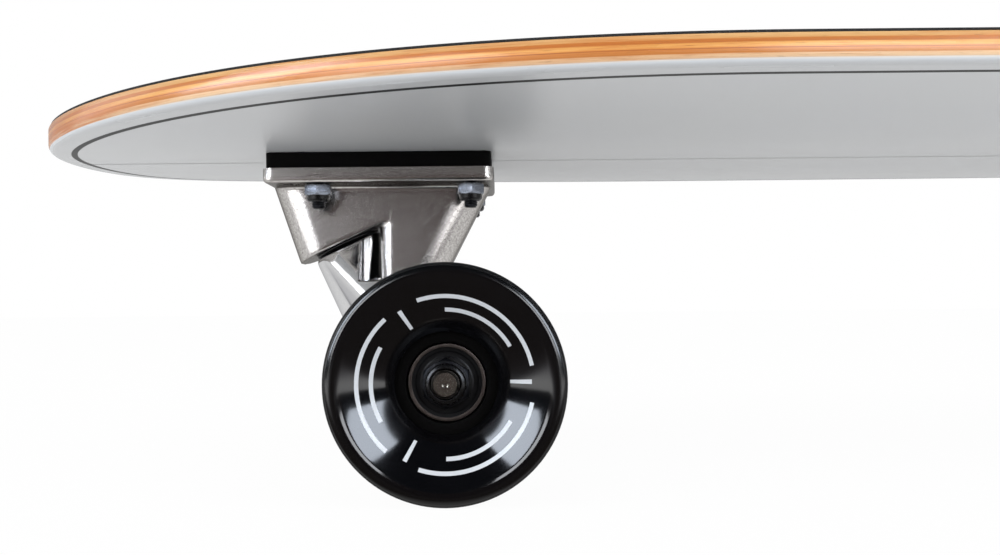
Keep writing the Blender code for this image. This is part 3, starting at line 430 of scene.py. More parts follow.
grained = lacquer.mix(streaks.above(0.62, 0.22) * 0.5, plies, 0xc98046)
wood = lacquer.mix(orange, grained, 0xc9702c)
fine_lines = lacquer.noise(x / 5, y / 5, height * 6, detail=3.0)
wood = lacquer.mix(fine_lines.above(0.66, 0.12) * 0.35, wood, 0x7a4a24)
wood = lacquer.mix(end_grain * 0.4, wood, 0xa8663a)
bare = (height + (waves - 0.5) * 0.2 + end_grain * 0.5).above(PAINT_HEIGHT, 0.25)
# Painted light: the grey on the lower round is painted paler and bluer upwards, as if its turning side caught
# more light.
round_over_painted_light = lacquer.mix(height.above(0.7, 1.2), 0xcbcdcf, 0xdadfe4)
# Painted highlight: a pale line is painted along the top edge of the grey paint, just below the bare plies.
paint_and_painted_highlight = lacquer.mix(height.above(PAINT_HEIGHT - 0.35, 0.3), round_over_painted_light, 0xe6e2de)
lacquer.set(Base_Color=lacquer.mix(bare, paint_and_painted_highlight, wood), Roughness=0.24 + 0.06 * waves,
            Coat_Weight=0.1 * bare)
# The edge is sanded to a slight crown, so that it catches the light along its middle only.
off_crown = (height - CROWN_MIDDLE) / CROWN_HALF_WIDTH
lacquer.bumps((1 - off_crown * off_crown) * bare, CROWN_RISE)

underside_paint = speckled("underside_paint", 40, 0xcacccf, 0xcccecf, 0.27, detail=1.0)
stripe_paint = speckled("pinstripe_paint", (3, 3, 1), 0x161717, 0x222424, 0.4, Specular_IOR_Level=0.12)
line_paint = speckled("centre_line_paint", (8, 1, 1), 0x7d7f80, 0x888a8b, 0.3)

# Truck bolt holes: four through the deck and the grip at each end, countersunk in the top ply.
BOLT_RADIUS = 2.4 * MM
BOLT_HOLE_RADIUS = 2.8 * MM
BOLT_HEAD_RADIUS = 4.7 * MM
BOLT_HEAD_HEIGHT = 2.6 * MM
BOLT_CLEARANCE = 0.4 * MM
BOLT_NODES = [f"{end}_bolt_{number}" for end in ("front", "rear") for number in (1, 2, 3, 4)]


def bolt_middle(node):
    """The place of a bolt on the deck, as a vector at the underside."""
    low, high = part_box(node)
    return Vector(((low.x + high.x) / 2, (low.y + high.y) / 2, UNDERSIDE))


def bolt_holes():
    """The cutter for all the bolt holes in the deck and the grip."""
    holes = []
    for node in BOLT_NODES:
        mouth = BOLT_HEAD_RADIUS + BOLT_CLEARANCE
        hole = turned([(0, -2 * MM), (BOLT_HOLE_RADIUS, -2 * MM),
                       (BOLT_HOLE_RADIUS, DECK_THICKNESS - BOLT_HEAD_HEIGHT),
                       (mouth, DECK_THICKNESS - BOLT_CLEARANCE), (mouth, 2 * DECK_THICKNESS),
                       (0, 2 * DECK_THICKNESS)], 32, closed=False)
        holes.append(moved(hole, bolt_middle(node)))
    return joined(*holes)


show("maple_deck", carved(deck, bolt_holes()), (lacquer, stripe_paint, line_paint, underside_paint), "board",
     "maple_deck", "deck", sharp=30)

# Grip sheet
# Coarse black silicon-carbide paper, stuck over the whole top and trimmed just inside the edge.

GRIP_INSET = 0.7 * MM
GRIP_GLUE = 0.03 * MM
GRIP_THICKNESS = 0.65 * MM
grip_bottom = DECK_THICKNESS + GRIP_GLUE
grip = deck_sheet(GRIP_INSET, grip_bottom, grip_bottom + GRIP_THICKNESS)
press(grip)

grit = Finish("grip_grit", Roughness=0.9, Specular_IOR_Level=0.35)
grains = grit.grain(0.22, detail=1.0)
colour = grit.mix(grains.above(0.6, 0.2), 0x141414, 0x2b2b2c)
grit.set(Base_Color=grit.mix(grains.above(0.73, 0.06) * 0.7, colour, 0x77787a),
         Roughness=0.78 + 0.2 * grit.grain(45))
grit.bumps(grains, 0.12 * MM)
show("grip_sheet", carved(grip, bolt_holes()), (grit,), "board", "grip", "grip_tape", sharp=30)

# Riser pads
# Moulded black rubber plates that lift each truck 5 mm off the deck, with the truck's six bolt
# holes. They are clamped under the baseplate.

TRUCKS = {}
for end, turn in (("front", 0), ("rear", pi)):
    axle_low, axle_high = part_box(end + "_axle")
    TRUCKS[end] = (Matrix.Translation(((axle_low.x + axle_high.x) / 2, 0, UNDERSIDE))
                   @ Matrix.Rotation(turn, 4, "Z"))
SEAT = 0.3 * MM
RISER_THICKNESS = 5.0 * MM
RISER_FIT = 0.05 * MM           # from the deck that it is clamped to
RISER_LENGTH = 78.9 * MM
RISER_WIDTH = 54 * MM
PLATE_CORNER = 3 * MM
PLATE_LENGTH = 80.7 * MM
PLATE_END_PAST_AXLE = 13.2 * MM
PLATE_MIDDLE_X = PLATE_END_PAST_AXLE - PLATE_LENGTH / 2
BOLT_LINES = (5.0 * MM, -48.98 * MM, -58.5 * MM)    # of the truck's bolt holes, from above the axle
BOLT_HALF_SPACING = 20.64 * MM
RISER_BOTTOM = SEAT + RISER_THICKNESS


def on_trucks(name, shape, finishes, body, slot, *nodes, sharp=35, bend=None):
    """Put one shape, made in the truck's own frame, on both trucks."""
    for end, matrix in TRUCKS.items():
        copy = shape.copy()
        copy.transform(matrix)
        end_bend = bend and (bend[0].format(end=end), matrix @ bend[1], matrix @ bend[2])
        show(f"{end}_{name}", copy, finishes, body.format(end=end), slot,
             *[f"{end}_{node}" for node in nodes], sharp=sharp, bend=end_bend)
    shape.free()


def slab(length, width, corner, low, high, middle_x=PLATE_MIDDLE_X):
    """A plate with round corners."""
    shape = bmesh.new()
    bmesh.ops.create_cube(shape, size=1.0)
    bmesh.ops.scale(shape, verts=shape.verts, vec=(length, width, high - low))
    moved(shape, (middle_x, 0, (low + high) / 2))
    upright = [edge for edge in shape.edges if abs(edge.verts[0].co.z - edge.verts[1].co.z) > MM]
    return round_edges(shape, upright, corner, 8)


UP = Vector((0, 0, 1))
SIDEWAYS = Vector((0, 1, 0))
ALONG = Vector((1, 0, 0))
HERE = Vector((0, 0, 0))


def along(direction, origin):
    """The matrix that lays a shape turned round Z along a direction from an origin."""
    turn = UP.rotation_difference(direction).to_matrix().to_4x4()
    return Matrix.Translation(origin) @ turn


def rod(radius, start, end, direction, origin, steps=32):
    """A cylinder between two distances along a direction from an origin."""
    shape = turned([(0, start), (radius, start), (radius, end), (0, end)], steps, closed=False)
    shape.transform(along(direction, origin))
    return shape


def plate_holes(low, high):
    """The six bolt holes of the riser and the baseplate."""
    return joined(*[rod(BOLT_HOLE_RADIUS, low, high, UP, Vector((x, side * BOLT_HALF_SPACING, 0)))
                    for x in BOLT_LINES for side in (-1, 1)])


riser = slab(RISER_LENGTH, RISER_WIDTH, PLATE_CORNER, -RISER_BOTTOM, -RISER_FIT)
round_rim(riser, -RISER_BOTTOM, 0.35 * MM, 2)
riser = carved(riser, plate_holes(-RISER_BOTTOM - MM, MM))
rubber = speckled("riser_rubber", 0.6, 0x050505, 0x0b0b0b, 0.55, 0.2, 0.02 * MM, Specular_IOR_Level=0.05)
on_trucks("riser_pad", riser, (rubber,), "board", "riser_rubber", "riser")

# Truck bolts and lock nuts
# Hex-socket countersunk bolts of black steel from the top, and grey lock nuts with a black nylon
# collar under the baseplate. The collar points down, and the thread stands 2.4 mm out of it.

PLATE_THICKNESS = 5.0 * MM
PLATE_TOP = RISER_BOTTOM + SEAT
PLATE_BOTTOM = PLATE_TOP + PLATE_THICKNESS
LOCK_NUT_FLATS = 9.0 * MM
LOCK_NUT_HEX = 3.8 * MM
LOCK_NUT_COLLAR = 2.2 * MM
BOLT_TIP = 2.4 * MM
SOCKET_FLATS = 3.2 * MM
SOCKET_DEPTH = 1.6 * MM
THREAD_PITCH = 0.8 * MM
THREAD_FORM = ((0.91, 0.1), (1, 0.45), (1, 0.65))   # shares of the radius and of the pitch
NUT_TURNS = (2.8, 31, 5.9, 0, 17, 54, 39, 8)      # degrees, as each nut happens to stop


def threads(radius, start, end, pitch=THREAD_PITCH):
    """The (radius, height) points of a thread between two heights, as rings."""
    count = max(int(abs(end - start) / pitch), 1)
    step = (end - start) / count
    return [(radius * size, start + step * (k + share)) for k in range(count) for size, share in THREAD_FORM]


def hexagon(flats, low, high):
    """A hexagonal bar between two heights."""
    shape = bmesh.new()
    bmesh.ops.create_cone(shape, cap_ends=True, segments=6, radius1=flats / 2 / cos(pi / 6),
                          radius2=flats / 2 / cos(pi / 6), depth=high - low)
    return moved(shape, (0, 0, (low + high) / 2))


def lock_nut(flats, hex_height, collar_height, bore, washer=0.0):
    """A lock nut, hex side up from its seat at 0: corners turned off, a round collar below."""
    corner = flats / 2 / cos(pi / 6)
    flat = flats / 2
    cut = corner - flat
    bottom = -hex_height - collar_height
    blank = turned([(0, 0), (flat, 0), (corner, -cut), (corner, -hex_height + cut), (flat, -hex_height),
                    (0, -hex_height)], 48, closed=False)
    bar = worked(hexagon(flats, -hex_height, 0), boolean("INTERSECT", blank))
    collar = flat * 0.9
    ring = turned([(0, bottom), (collar * 0.82, bottom), (collar * 0.94, bottom + collar_height * 0.16),
                   (collar, bottom + collar_height * 0.45), (collar, -hex_height * 0.7),
                   (0, -hex_height * 0.7)], 48, closed=False)
    steps = [boolean("UNION", ring)]
    if washer:
        steps.append(boolean("UNION", rod(flat * 0.8, -hex_height / 2, washer, UP, HERE, 48)))
    hole = rod(bore, bottom - MM, washer + MM, UP, HERE, 48)
    nut = worked(bar, *steps, boolean("DIFFERENCE", hole))
    bmesh.ops.remove_doubles(nut, verts=nut.verts, dist=2e-6)
    for piece in nut.faces:
        piece.material_index = 1 if piece.calc_center_median().z < -hex_height - 0.02 * MM else 0
    return softened(nut, 0.15 * MM, segments=2, angle=28)


black_steel = speckled("black_oxide_steel", 0.8, 0x121316, 0x212328, 0.24, 0.12, 0.003 * MM, Metallic=0.75)
nut_steel = speckled("phosphated_steel", 0.5, 0x666a72, 0x858a94, 0.22, 0.08, Metallic=0.8)
nylon = speckled("black_nylon", 0.7, 0x070708, 0x101012, 0.22, 0.1, Specular_IOR_Level=0.3)

bolt_bottom = -(PLATE_BOTTOM + SEAT + LOCK_NUT_HEX + LOCK_NUT_COLLAR + BOLT_TIP)
bolt_shape = turned([(0, DECK_THICKNESS), (BOLT_HEAD_RADIUS, DECK_THICKNESS),
                     (BOLT_HEAD_RADIUS, DECK_THICKNESS - 0.3 * MM),
                     (BOLT_RADIUS, DECK_THICKNESS - BOLT_HEAD_HEIGHT)]
                    + threads(BOLT_RADIUS, -PLATE_TOP, bolt_bottom + 0.5 * MM)
                    + [(BOLT_RADIUS * 0.75, bolt_bottom), (0, bolt_bottom)], 40, closed=False)
bolt_shape = carved(bolt_shape, hexagon(SOCKET_FLATS, DECK_THICKNESS - SOCKET_DEPTH, DECK_THICKNESS + MM))
nut_shape = lock_nut(LOCK_NUT_FLATS, LOCK_NUT_HEX, LOCK_NUT_COLLAR, BOLT_HOLE_RADIUS)
for order, node in enumerate(BOLT_NODES):
    bolt = moved(bolt_shape.copy(), bolt_middle(node))
    show(node + "_steel", bolt, (black_steel,), "board", "black_steel", node)
    nut = nut_shape.copy()
    nut.transform(Matrix.Translation(bolt_middle(node) - UP * (PLATE_BOTTOM + SEAT))
                  @ Matrix.Rotation(radians(NUT_TURNS[order]), 4, "Z"))
    name = node.replace("bolt", "lock_nut")
    show(name + "_steel", nut, (nut_steel, nylon), "board", "black_steel", name)
bolt_shape.free()
nut_shape.free()

# Baseplates
# Gravity-cast aluminium, tumbled to a dull grey-brown: a plate for the bolts, a leg whose slanted
# face holds the pivot cup, and a leg that the kingpin passes through. Every edge is cast round.

PLATE_WIDTH = 56 * MM
CASTING_WIDTH = 28 * MM
PLATE_EDGE = 1.0 * MM
CUP_LEG_TIP = Vector((-58.3 * MM, 0, -38.1 * MM))
CUP_LEG_RAKE = radians(18.6)
KINGPIN_LEG_INNER_X = -28.5 * MM
KINGPIN_LEG_RAKE = radians(27.4)
KINGPIN_LEG_TOP_X = 11.7 * MM
CASTING_END_RADIUS = 10.5 * MM
LEG_EDGE_RADIUS = 4.8 * MM
LEG_ROOT_FLARE = 2.0 * MM
TURN_AXIS_ANGLE = radians(65.5)
KINGPIN_LEAN = radians(18)
KINGPIN_SEAT = Vector((-19.5 * MM, 0, -49.2 * MM))
KINGPIN_HEAD_DEPTH = 14.0 * MM
KINGPIN_HEAD_HEIGHT = 6.0 * MM
KINGPIN_HEAD_FLATS = 14.3 * MM
KINGPIN_RADIUS = 4.75 * MM
KINGPIN_HEAD = -(-KINGPIN_SEAT.z - KINGPIN_HEAD_DEPTH) / cos(KINGPIN_LEAN)
WASHER_THICKNESS = 1.5 * MM
UPPER_BUSHING_HEIGHT = 11 * MM
LOWER_BUSHING_HEIGHT = 10 * MM
RING_THICKNESS = 9 * MM
UPPER_BUSHING_TOP = SEAT + WASHER_THICKNESS + SEAT
RING_TOP = UPPER_BUSHING_TOP + UPPER_BUSHING_HEIGHT + SEAT
RING_MIDDLE = RING_TOP + RING_THICKNESS / 2
CUP_RADIUS = 9.5 * MM
CUP_DEPTH = 14 * MM
KINGPIN_DOWN = Vector((-sin(KINGPIN_LEAN), 0, -cos(KINGPIN_LEAN)))
TURN_DOWN = Vector((cos(TURN_AXIS_ANGLE), 0, -sin(TURN_AXIS_ANGLE)))
TURN_CENTRE = KINGPIN_SEAT + KINGPIN_DOWN * RING_MIDDLE
CUP_FACE = TURN_CENTRE + TURN_DOWN * (CUP_LEG_TIP - TURN_CENTRE).dot(TURN_DOWN)


def leg_outline(grown=0.0):
    """The two legs from the side, as (x, depth) corners; grown moves the free faces outwards."""
    root = PLATE_TOP + PLATE_THICKNESS / 2
    front_x = CUP_LEG_TIP.x - tan(CUP_LEG_RAKE) * (-CUP_LEG_TIP.z - root)
    face = CUP_FACE + TURN_DOWN * grown
    face_slope = 1 / tan(TURN_AXIS_ANGLE)
    inner_x = KINGPIN_LEG_INNER_X - grown
    tip_x = CUP_LEG_TIP.x - grown
    seat = KINGPIN_SEAT + KINGPIN_DOWN * grown
    seat_slope = tan(KINGPIN_LEAN)
    rear_slope = tan(KINGPIN_LEG_RAKE)
    rear_top = KINGPIN_LEG_TOP_X + grown / cos(KINGPIN_LEG_RAKE)
    seat_outer_depth = (-seat.z + (rear_top + rear_slope * PLATE_BOTTOM - seat.x) * seat_slope) \
        / (1 + seat_slope * rear_slope)
    return [(front_x - grown, root), (tip_x, -face.z - (tip_x - face.x) * face_slope),
            (inner_x, -face.z - (inner_x - face.x) * face_slope),
            (inner_x, -seat.z + (inner_x - seat.x) * seat_slope),
            (rear_top - rear_slope * (seat_outer_depth - PLATE_BOTTOM), seat_outer_depth),
            (rear_top + rear_slope * (PLATE_BOTTOM - root), root)]


def side_block(corners, width, rounds):
    """A side view given a width, with the edges at some pairs of its corners rounded."""
    shape = bmesh.new()
    face = shape.faces.new([shape.verts.new((x, -width / 2, -depth)) for x, depth in corners])
    thickened(shape, face, (0, width, 0))
    for first, second, radius in rounds:
        ends = (corners[first], corners[second])
        edges = [edge for edge in shape.edges
                 if all(any(hypot(vert.co.x - x, vert.co.z + depth) < 1e-5 for vert in edge.verts)
                        for x, depth in ends)]
        round_edges(shape, edges, radius, 14, clamp=True)
    return shape


def cast(shapes, voxel, rounds):
    """Melt overlapping solids into one skin, and smooth it so that its edges and corners round."""
    return worked(joined(*shapes), ("REMESH", {"mode": "VOXEL", "voxel_size": voxel}),
                  ("SMOOTH", {"factor": 0.5, "iterations": rounds}))


def on_pin(radius, start, end, steps=48):
    """A cylinder round the kingpin, between two distances down from its seat."""
    return rod(radius, start, end, KINGPIN_DOWN, KINGPIN_SEAT, steps)


def kingpin_leg(grown=0.0):
    """The leg that holds the kingpin; grown by a clearance, it is the room that the hanger leaves."""
    seat_inner, seat_outer, rear_top = leg_outline(grown)[3:]
    return side_block([(seat_inner[0], rear_top[1]), seat_inner, seat_outer, rear_top],
                      CASTING_WIDTH + 2 * grown, ((0, 1, LEG_EDGE_RADIUS + grown), (2, 3, CASTING_END_RADIUS)))


front_top, tip, notch = leg_outline()[:3]
inside = notch[0] + 2 * LEG_EDGE_RADIUS
slope = (tip[1] - notch[1]) / (notch[0] - tip[0])
cup_leg = side_block([front_top, tip, (inside, notch[1] - slope * (inside - notch[0])), (inside, front_top[1])],
                     CASTING_WIDTH, ((0, 1, CASTING_END_RADIUS),))
left = PLATE_MIDDLE_X - PLATE_LENGTH / 2 + PLATE_EDGE
right = leg_outline()[5][0]
middle_x = (left + right) / 2
root = slab(right - left, CASTING_WIDTH + 2 * LEG_ROOT_FLARE, CASTING_END_RADIUS + LEG_ROOT_FLARE,
            -PLATE_BOTTOM - LEG_ROOT_FLARE, -PLATE_TOP - MM, middle_x)
for vert in root.verts:
    if vert.co.z < -PLATE_BOTTOM - LEG_ROOT_FLARE / 2:
        vert.co.x -= (vert.co.x - middle_x) * 2 * LEG_ROOT_FLARE / (right - left)
        vert.co.y -= vert.co.y * 2 * LEG_ROOT_FLARE / CASTING_WIDTH
plate = slab(PLATE_LENGTH, PLATE_WIDTH, PLATE_CORNER, -PLATE_BOTTOM, 0)
round_rim(plate, -PLATE_BOTTOM, PLATE_EDGE, 2)
# The plate is cast too thick, and milled flat where the riser lies on it.
milled = slab(2 * PLATE_LENGTH, 2 * PLATE_WIDTH, PLATE_CORNER, -PLATE_TOP, PLATE_LENGTH)
casting = cast((plate, root, cup_leg, kingpin_leg()), 0.55 * MM, 6)
head_room = on_pin(KINGPIN_HEAD_FLATS / 2 / cos(pi / 6) + BOLT_CLEARANCE,
                   KINGPIN_HEAD - 2 * KINGPIN_HEAD_HEIGHT, KINGPIN_HEAD)
pin_room = on_pin(KINGPIN_RADIUS + BOLT_CLEARANCE, KINGPIN_HEAD - MM, MM)
cup_room = rod(CUP_RADIUS + SEAT, -CUP_DEPTH - SEAT, MM, TURN_DOWN, CUP_FACE, 48)
casting = carved(casting, milled, plate_holes(-PLATE_BOTTOM - MM, -PLATE_TOP + MM), head_room, pin_room, cup_room,
                 solver="MANIFOLD")

cast_metal = Finish("tumbled_cast_aluminium", Metallic=1.0, Specular_Tint=0x8f8e8c)
x, y, z = cast_metal.place()
skin = cast_metal.grain(0.7, roughness=0.6)
pits = cast_metal.noise(x / 0.5 + 9, y / 0.5, z / 0.5, detail=1.0).above(0.66, 0.1)
tint = cast_metal.mix(cast_metal.grain(9), 0xb6b2af, 0xc4c1be)
tint = cast_metal.mix(skin.above(0.52, 0.3) * 0.5, tint, 0xe0dedb)
cast_metal.set(Base_Color=cast_metal.mix(pits * 0.5, tint, 0x6b615e),
               Roughness=0.18 + 0.08 * skin)
cast_metal.bumps(skin + pits * -0.4, 0.03 * MM)
on_trucks("cast_baseplate", casting, (cast_metal,), "board", "cast_aluminium", "baseplate", sharp=50)

# Pivot cups, kingpins, washers and bushings
# A black urethane cup in the outer leg takes the hanger's nose. The kingpin is a zinc-plated hex
# bolt that clamps two black urethane bushings, between cup washers, on the hanger's ring.

CUP_WALL = 2.6 * MM
CUP_RIM_RADIUS = 12.5 * MM
CUP_RIM_THICKNESS = 0.45 * MM
WASHER_LIP = 1.2 * MM
BUSHING_RADIUS = 12.25 * MM
LOWER_BUSHING_END = 10 * MM
BUSHING_EDGE = 1.4 * MM
BUSHING_BORE = 5.2 * MM
KINGPIN_NUT_FLATS = 14.3 * MM
KINGPIN_NUT_HEIGHT = 8.5 * MM
KINGPIN_TIP = 1.5 * MM
KINGPIN_PITCH = 1.06 * MM
LOWER_BUSHING_TOP = RING_TOP + RING_THICKNESS + SEAT
LOWER_WASHER_TOP = LOWER_BUSHING_TOP + LOWER_BUSHING_HEIGHT + SEAT
KINGPIN_NUT_TOP = LOWER_WASHER_TOP + WASHER_THICKNESS + SEAT
KINGPIN_END = KINGPIN_NUT_TOP + KINGPIN_NUT_HEIGHT + KINGPIN_TIP


def on_kingpin(name, shape, slot, node, *finishes, bend=None):
    """Thread a piece on both kingpins; its heights are distances down from the kingpin's seat."""
    shape.transform(along(KINGPIN_DOWN, KINGPIN_SEAT))
    on_trucks(name, shape, finishes, "board", slot, node, bend=bend)


soft_black = speckled("bushing_urethane", 2.5, 0x0e0e0f, 0x1a1a1b, 0.34, 0.14, 0.01 * MM,
                      Specular_IOR_Level=0.45)
plated = speckled("zinc_plated_steel", 0.7, 0x8d8881, 0xb9b4ab, 0.22, 0.16, 0.008 * MM, Metallic=1.0)

cup_inner = CUP_RADIUS - CUP_WALL
cup = turned([(0, -CUP_DEPTH), (CUP_RADIUS - MM, -CUP_DEPTH), (CUP_RADIUS, -CUP_DEPTH + MM), (CUP_RADIUS, SEAT),
              (CUP_RIM_RADIUS, SEAT), (CUP_RIM_RADIUS, SEAT + CUP_RIM_THICKNESS),
              (cup_inner, SEAT + CUP_RIM_THICKNESS), (cup_inner, -CUP_DEPTH + 2 * CUP_WALL),
              (cup_inner * 0.6, -CUP_DEPTH + CUP_WALL), (0, -CUP_DEPTH + CUP_WALL)], closed=False)
cup = softened(cup, 0.2 * MM)
cup.transform(along(TURN_DOWN, CUP_FACE))
on_trucks("urethane_pivot_cup", cup, (soft_black,), "board", "bushing_urethane", "pivot_cup")

pin_top = KINGPIN_HEAD - KINGPIN_HEAD_HEIGHT / 2
pin = turned([(0, pin_top), (KINGPIN_RADIUS, pin_top)]
             + threads(KINGPIN_RADIUS, KINGPIN_NUT_TOP, KINGPIN_END - 0.6 * MM, KINGPIN_PITCH)
             + [(KINGPIN_RADIUS - 0.8 * MM, KINGPIN_END), (0, KINGPIN_END)], closed=False)
head = softened(hexagon(KINGPIN_HEAD_FLATS, KINGPIN_HEAD - KINGPIN_HEAD_HEIGHT, KINGPIN_HEAD - SEAT), 0.5 * MM)
on_kingpin("zinc_kingpin", worked(pin, boolean("UNION", head)), "steel", "kingpin", plated)

for name, finish, slot, top, held, lip in (
        ("upper_cup_washer", black_steel, "black_steel", SEAT, BUSHING_RADIUS, 1),
        ("lower_cup_washer", plated, "steel", LOWER_WASHER_TOP, LOWER_BUSHING_END, -1)):
    bore = KINGPIN_RADIUS + BOLT_CLEARANCE
    inner = held + SEAT
    outer = inner + WASHER_THICKNESS
    back, front = (top, top + WASHER_THICKNESS) if lip > 0 else (top + WASHER_THICKNESS, top)
    washer = turned([(bore, back), (outer, back), (outer, front + lip * WASHER_LIP),
                     (inner, front + lip * WASHER_LIP), (inner, front), (bore, front)])
    on_kingpin(name, softened(washer, 0.35 * MM, segments=3), slot, name.replace("_cup", ""), finish)

# Each bushing's ends, at its washer and at the hanger's ring, are worked out as a bend, which nothing reads; the
# bushing is left on no body.
for name, top, height, end_radius, washer_end in (
        ("upper_bushing", UPPER_BUSHING_TOP, UPPER_BUSHING_HEIGHT, BUSHING_RADIUS, 0),
        ("lower_bushing", LOWER_BUSHING_TOP, LOWER_BUSHING_HEIGHT, LOWER_BUSHING_END, 1)):
    waist = (BUSHING_RADIUS * 2 + end_radius) / 3
    bushing = turned([(BUSHING_BORE, top), (BUSHING_RADIUS - BUSHING_EDGE, top),
                      (BUSHING_RADIUS, top + BUSHING_EDGE), (waist, top + height / 2),
                      (end_radius, top + height - BUSHING_EDGE), (end_radius - BUSHING_EDGE, top + height),
                      (BUSHING_BORE, top + height)])
    held, turned_end = (KINGPIN_SEAT + KINGPIN_DOWN * (top + height * share)
                        for share in (washer_end, 1 - washer_end))
    on_kingpin("urethane_" + name, softened(bushing, 0.5 * MM, segments=3, angle=20), "bushing_urethane", name,
               soft_black, bend=("{end}_hanger_assembly", held, turned_end))

nut = lock_nut(KINGPIN_NUT_FLATS, KINGPIN_NUT_HEIGHT * 0.68, KINGPIN_NUT_HEIGHT * 0.32,
               KINGPIN_RADIUS + BOLT_CLEARANCE)
nut.transform(Matrix.Translation((0, 0, KINGPIN_NUT_TOP)) @ Matrix.Rotation(pi, 4, "X"))
on_kingpin("zinc_kingpin_nut", nut, "steel", "kingpin_nut", plated, nylon)

# Hangers
# Cast aluminium, polished bright: a nose in the pivot cup, a thick neck, a ring round the kingpin,
# and two arms that spread into the beam that holds the axle.

RING_RADIUS = 15.5 * MM
RING_BORE = 6.7 * MM
RING_LIP = 1.0 * MM
WEB_INSET = 0.6 * MM
WEB_HALF_WIDTH = 17 * MM
ARM_TOP_RADII = (9.5 * MM, 4.5 * MM)     # of the arm's outer and inner corner
ARM_TOP_INSET = 2.0 * MM          # of the arm's corner from the neck's silhouette
ARM_BOTTOM = 38 * MM
ARM_BOTTOM_RADIUS = 8.5 * MM
ARM_ROOT_OFFSET = 5 * MM
ARM_END = 16 * MM
BARREL_STRAIGHT = 0.5
SKIN = 0.5 * MM
RUNNING = 0.3 * MM
SWING_CLEARANCE = 0.8 * MM
STEER_RANGE = radians(20)
SWING_STEPS = 4                 # to each side, in which the hanger's free room is swept
NECK_RADIUS = 13.6 * MM
NECK_HALF_WIDTH = 12.5 * MM
NECK_FLATNESS = 0.86              # of the neck's half width between the arms to its radius
NECK_LENGTH = 40 * MM
NECK_EDGE = 0.6 * MM
NECK_FLAT_FRONT_X = -34.6 * MM
NECK_FLAT_HALF_WIDTH = 12.2 * MM
NECK_FLAT_ANGLE = radians(30)
NECK_FLAT_FOOT = 48.0 * MM
NECK_FLAT_DRAFT = radians(7)
AXLE_DEPTH = 76 * MM
HANGER_HALF_WIDTH = 75 * MM
BARREL_RADIUS = 9.5 * MM
BARREL_END_RADIUS = 7.2 * MM
SHOULDER_RADIUS = 5.5 * MM
SPEED_WASHER = 1.0 * MM
AXLE_RADIUS = 3.97 * MM
AXLE_MIDDLE = Vector((0, 0, -AXLE_DEPTH))


def circle(middle, radius, first, second, steps=48):
    """Points of a circle in the plane of two directions."""
    return [middle + (first * cos(2 * pi * k / steps) + second * sin(2 * pi * k / steps)) * radius
            for k in range(steps)]


def hull(points):
    """The convex solid round some points."""
    shape = bmesh.new()
    verts = [shape.verts.new(point) for point in points]
    made = bmesh.ops.convex_hull(shape, input=verts, use_existing_faces=False)
    spare = set(only_verts(made["geom_interior"] + made["geom_unused"]))
    bmesh.ops.delete(shape, geom=list(spare), context="VERTS")
    bmesh.ops.recalc_face_normals(shape, faces=shape.faces)
    return shape


def neck_flat(side):
    """The metal that is missing beside the slanted flat behind the neck, on one side; its foot is a ledge."""
    reach = 2 * NECK_RADIUS
    rear_x = NECK_FLAT_FRONT_X + reach * cos(NECK_FLAT_ANGLE)
    rear_y = NECK_FLAT_HALF_WIDTH - reach * sin(NECK_FLAT_ANGLE)
    outside = side * 2 * reach
    block = side_block([(NECK_FLAT_FRONT_X, side * NECK_FLAT_HALF_WIDTH), (rear_x, side * rear_y),
                        (rear_x, outside), (NECK_FLAT_FRONT_X, outside)], NECK_FLAT_FOOT, ())
    block.transform(Matrix.Translation((0, 0, -NECK_FLAT_FOOT)) @ Matrix.Rotation(side * NECK_FLAT_DRAFT, 4, "X")
                    @ Matrix.Translation((0, 0, NECK_FLAT_FOOT / 2)) @ Matrix.Rotation(pi / 2, 4, "X"))
    return block


def arm(side):
    """One arm, from the two corners of the neck's top out to the end of the beam."""
    across = TURN_DOWN.cross(SIDEWAYS)
    offset = SIDEWAYS * side * ARM_ROOT_OFFSET
    points = circle(CUP_FACE + TURN_DOWN * ARM_BOTTOM + offset, ARM_BOTTOM_RADIUS, TURN_DOWN, across)
    for end, radius in zip((-1, 1), ARM_TOP_RADII):
        corner = (across * end * (NECK_RADIUS - ARM_TOP_INSET - radius)
                  + SIDEWAYS * side * (NECK_HALF_WIDTH - radius))
        points += circle(CUP_FACE + TURN_DOWN * (neck_top + NECK_EDGE) + corner, radius, across, SIDEWAYS)
    points += circle(AXLE_MIDDLE + SIDEWAYS * side * (HANGER_HALF_WIDTH - ARM_END), BARREL_END_RADIUS - SKIN,
                     ALONG, UP)
    points += circle(AXLE_MIDDLE - offset, BARREL_RADIUS - SKIN, ALONG, UP)
    return hull(points)


neck_top = SEAT + CUP_RIM_THICKNESS + RUNNING
nose_radius = CUP_RADIUS - CUP_WALL - RUNNING * 1.5
nose_tip = -CUP_DEPTH + CUP_WALL + RUNNING * 1.5
neck = turned([(0, nose_tip), (nose_radius * 0.55, nose_tip), (nose_radius, nose_tip + CUP_WALL * 1.3),
               (nose_radius, neck_top), (NECK_RADIUS - NECK_EDGE, neck_top), (NECK_RADIUS, neck_top + NECK_EDGE),
               (NECK_RADIUS, NECK_LENGTH - 5 * MM), (NECK_RADIUS - 5 * MM, NECK_LENGTH), (0, NECK_LENGTH)], 96,
              closed=False)
for vert in neck.verts:
    if vert.co.z > neck_top - 0.01 * MM:
        vert.co.y *= NECK_FLATNESS
neck.transform(along(TURN_DOWN, CUP_FACE))
ring = on_pin(RING_RADIUS, RING_TOP - RING_LIP, RING_TOP + RING_THICKNESS + RING_LIP, 96)
across = KINGPIN_DOWN.cross(SIDEWAYS)
half = RING_THICKNESS / 2 - WEB_INSET
web_points = []
for offset in (-half, half):
    web_points += circle(TURN_CENTRE + KINGPIN_DOWN * offset, RING_RADIUS - SKIN, across, SIDEWAYS)
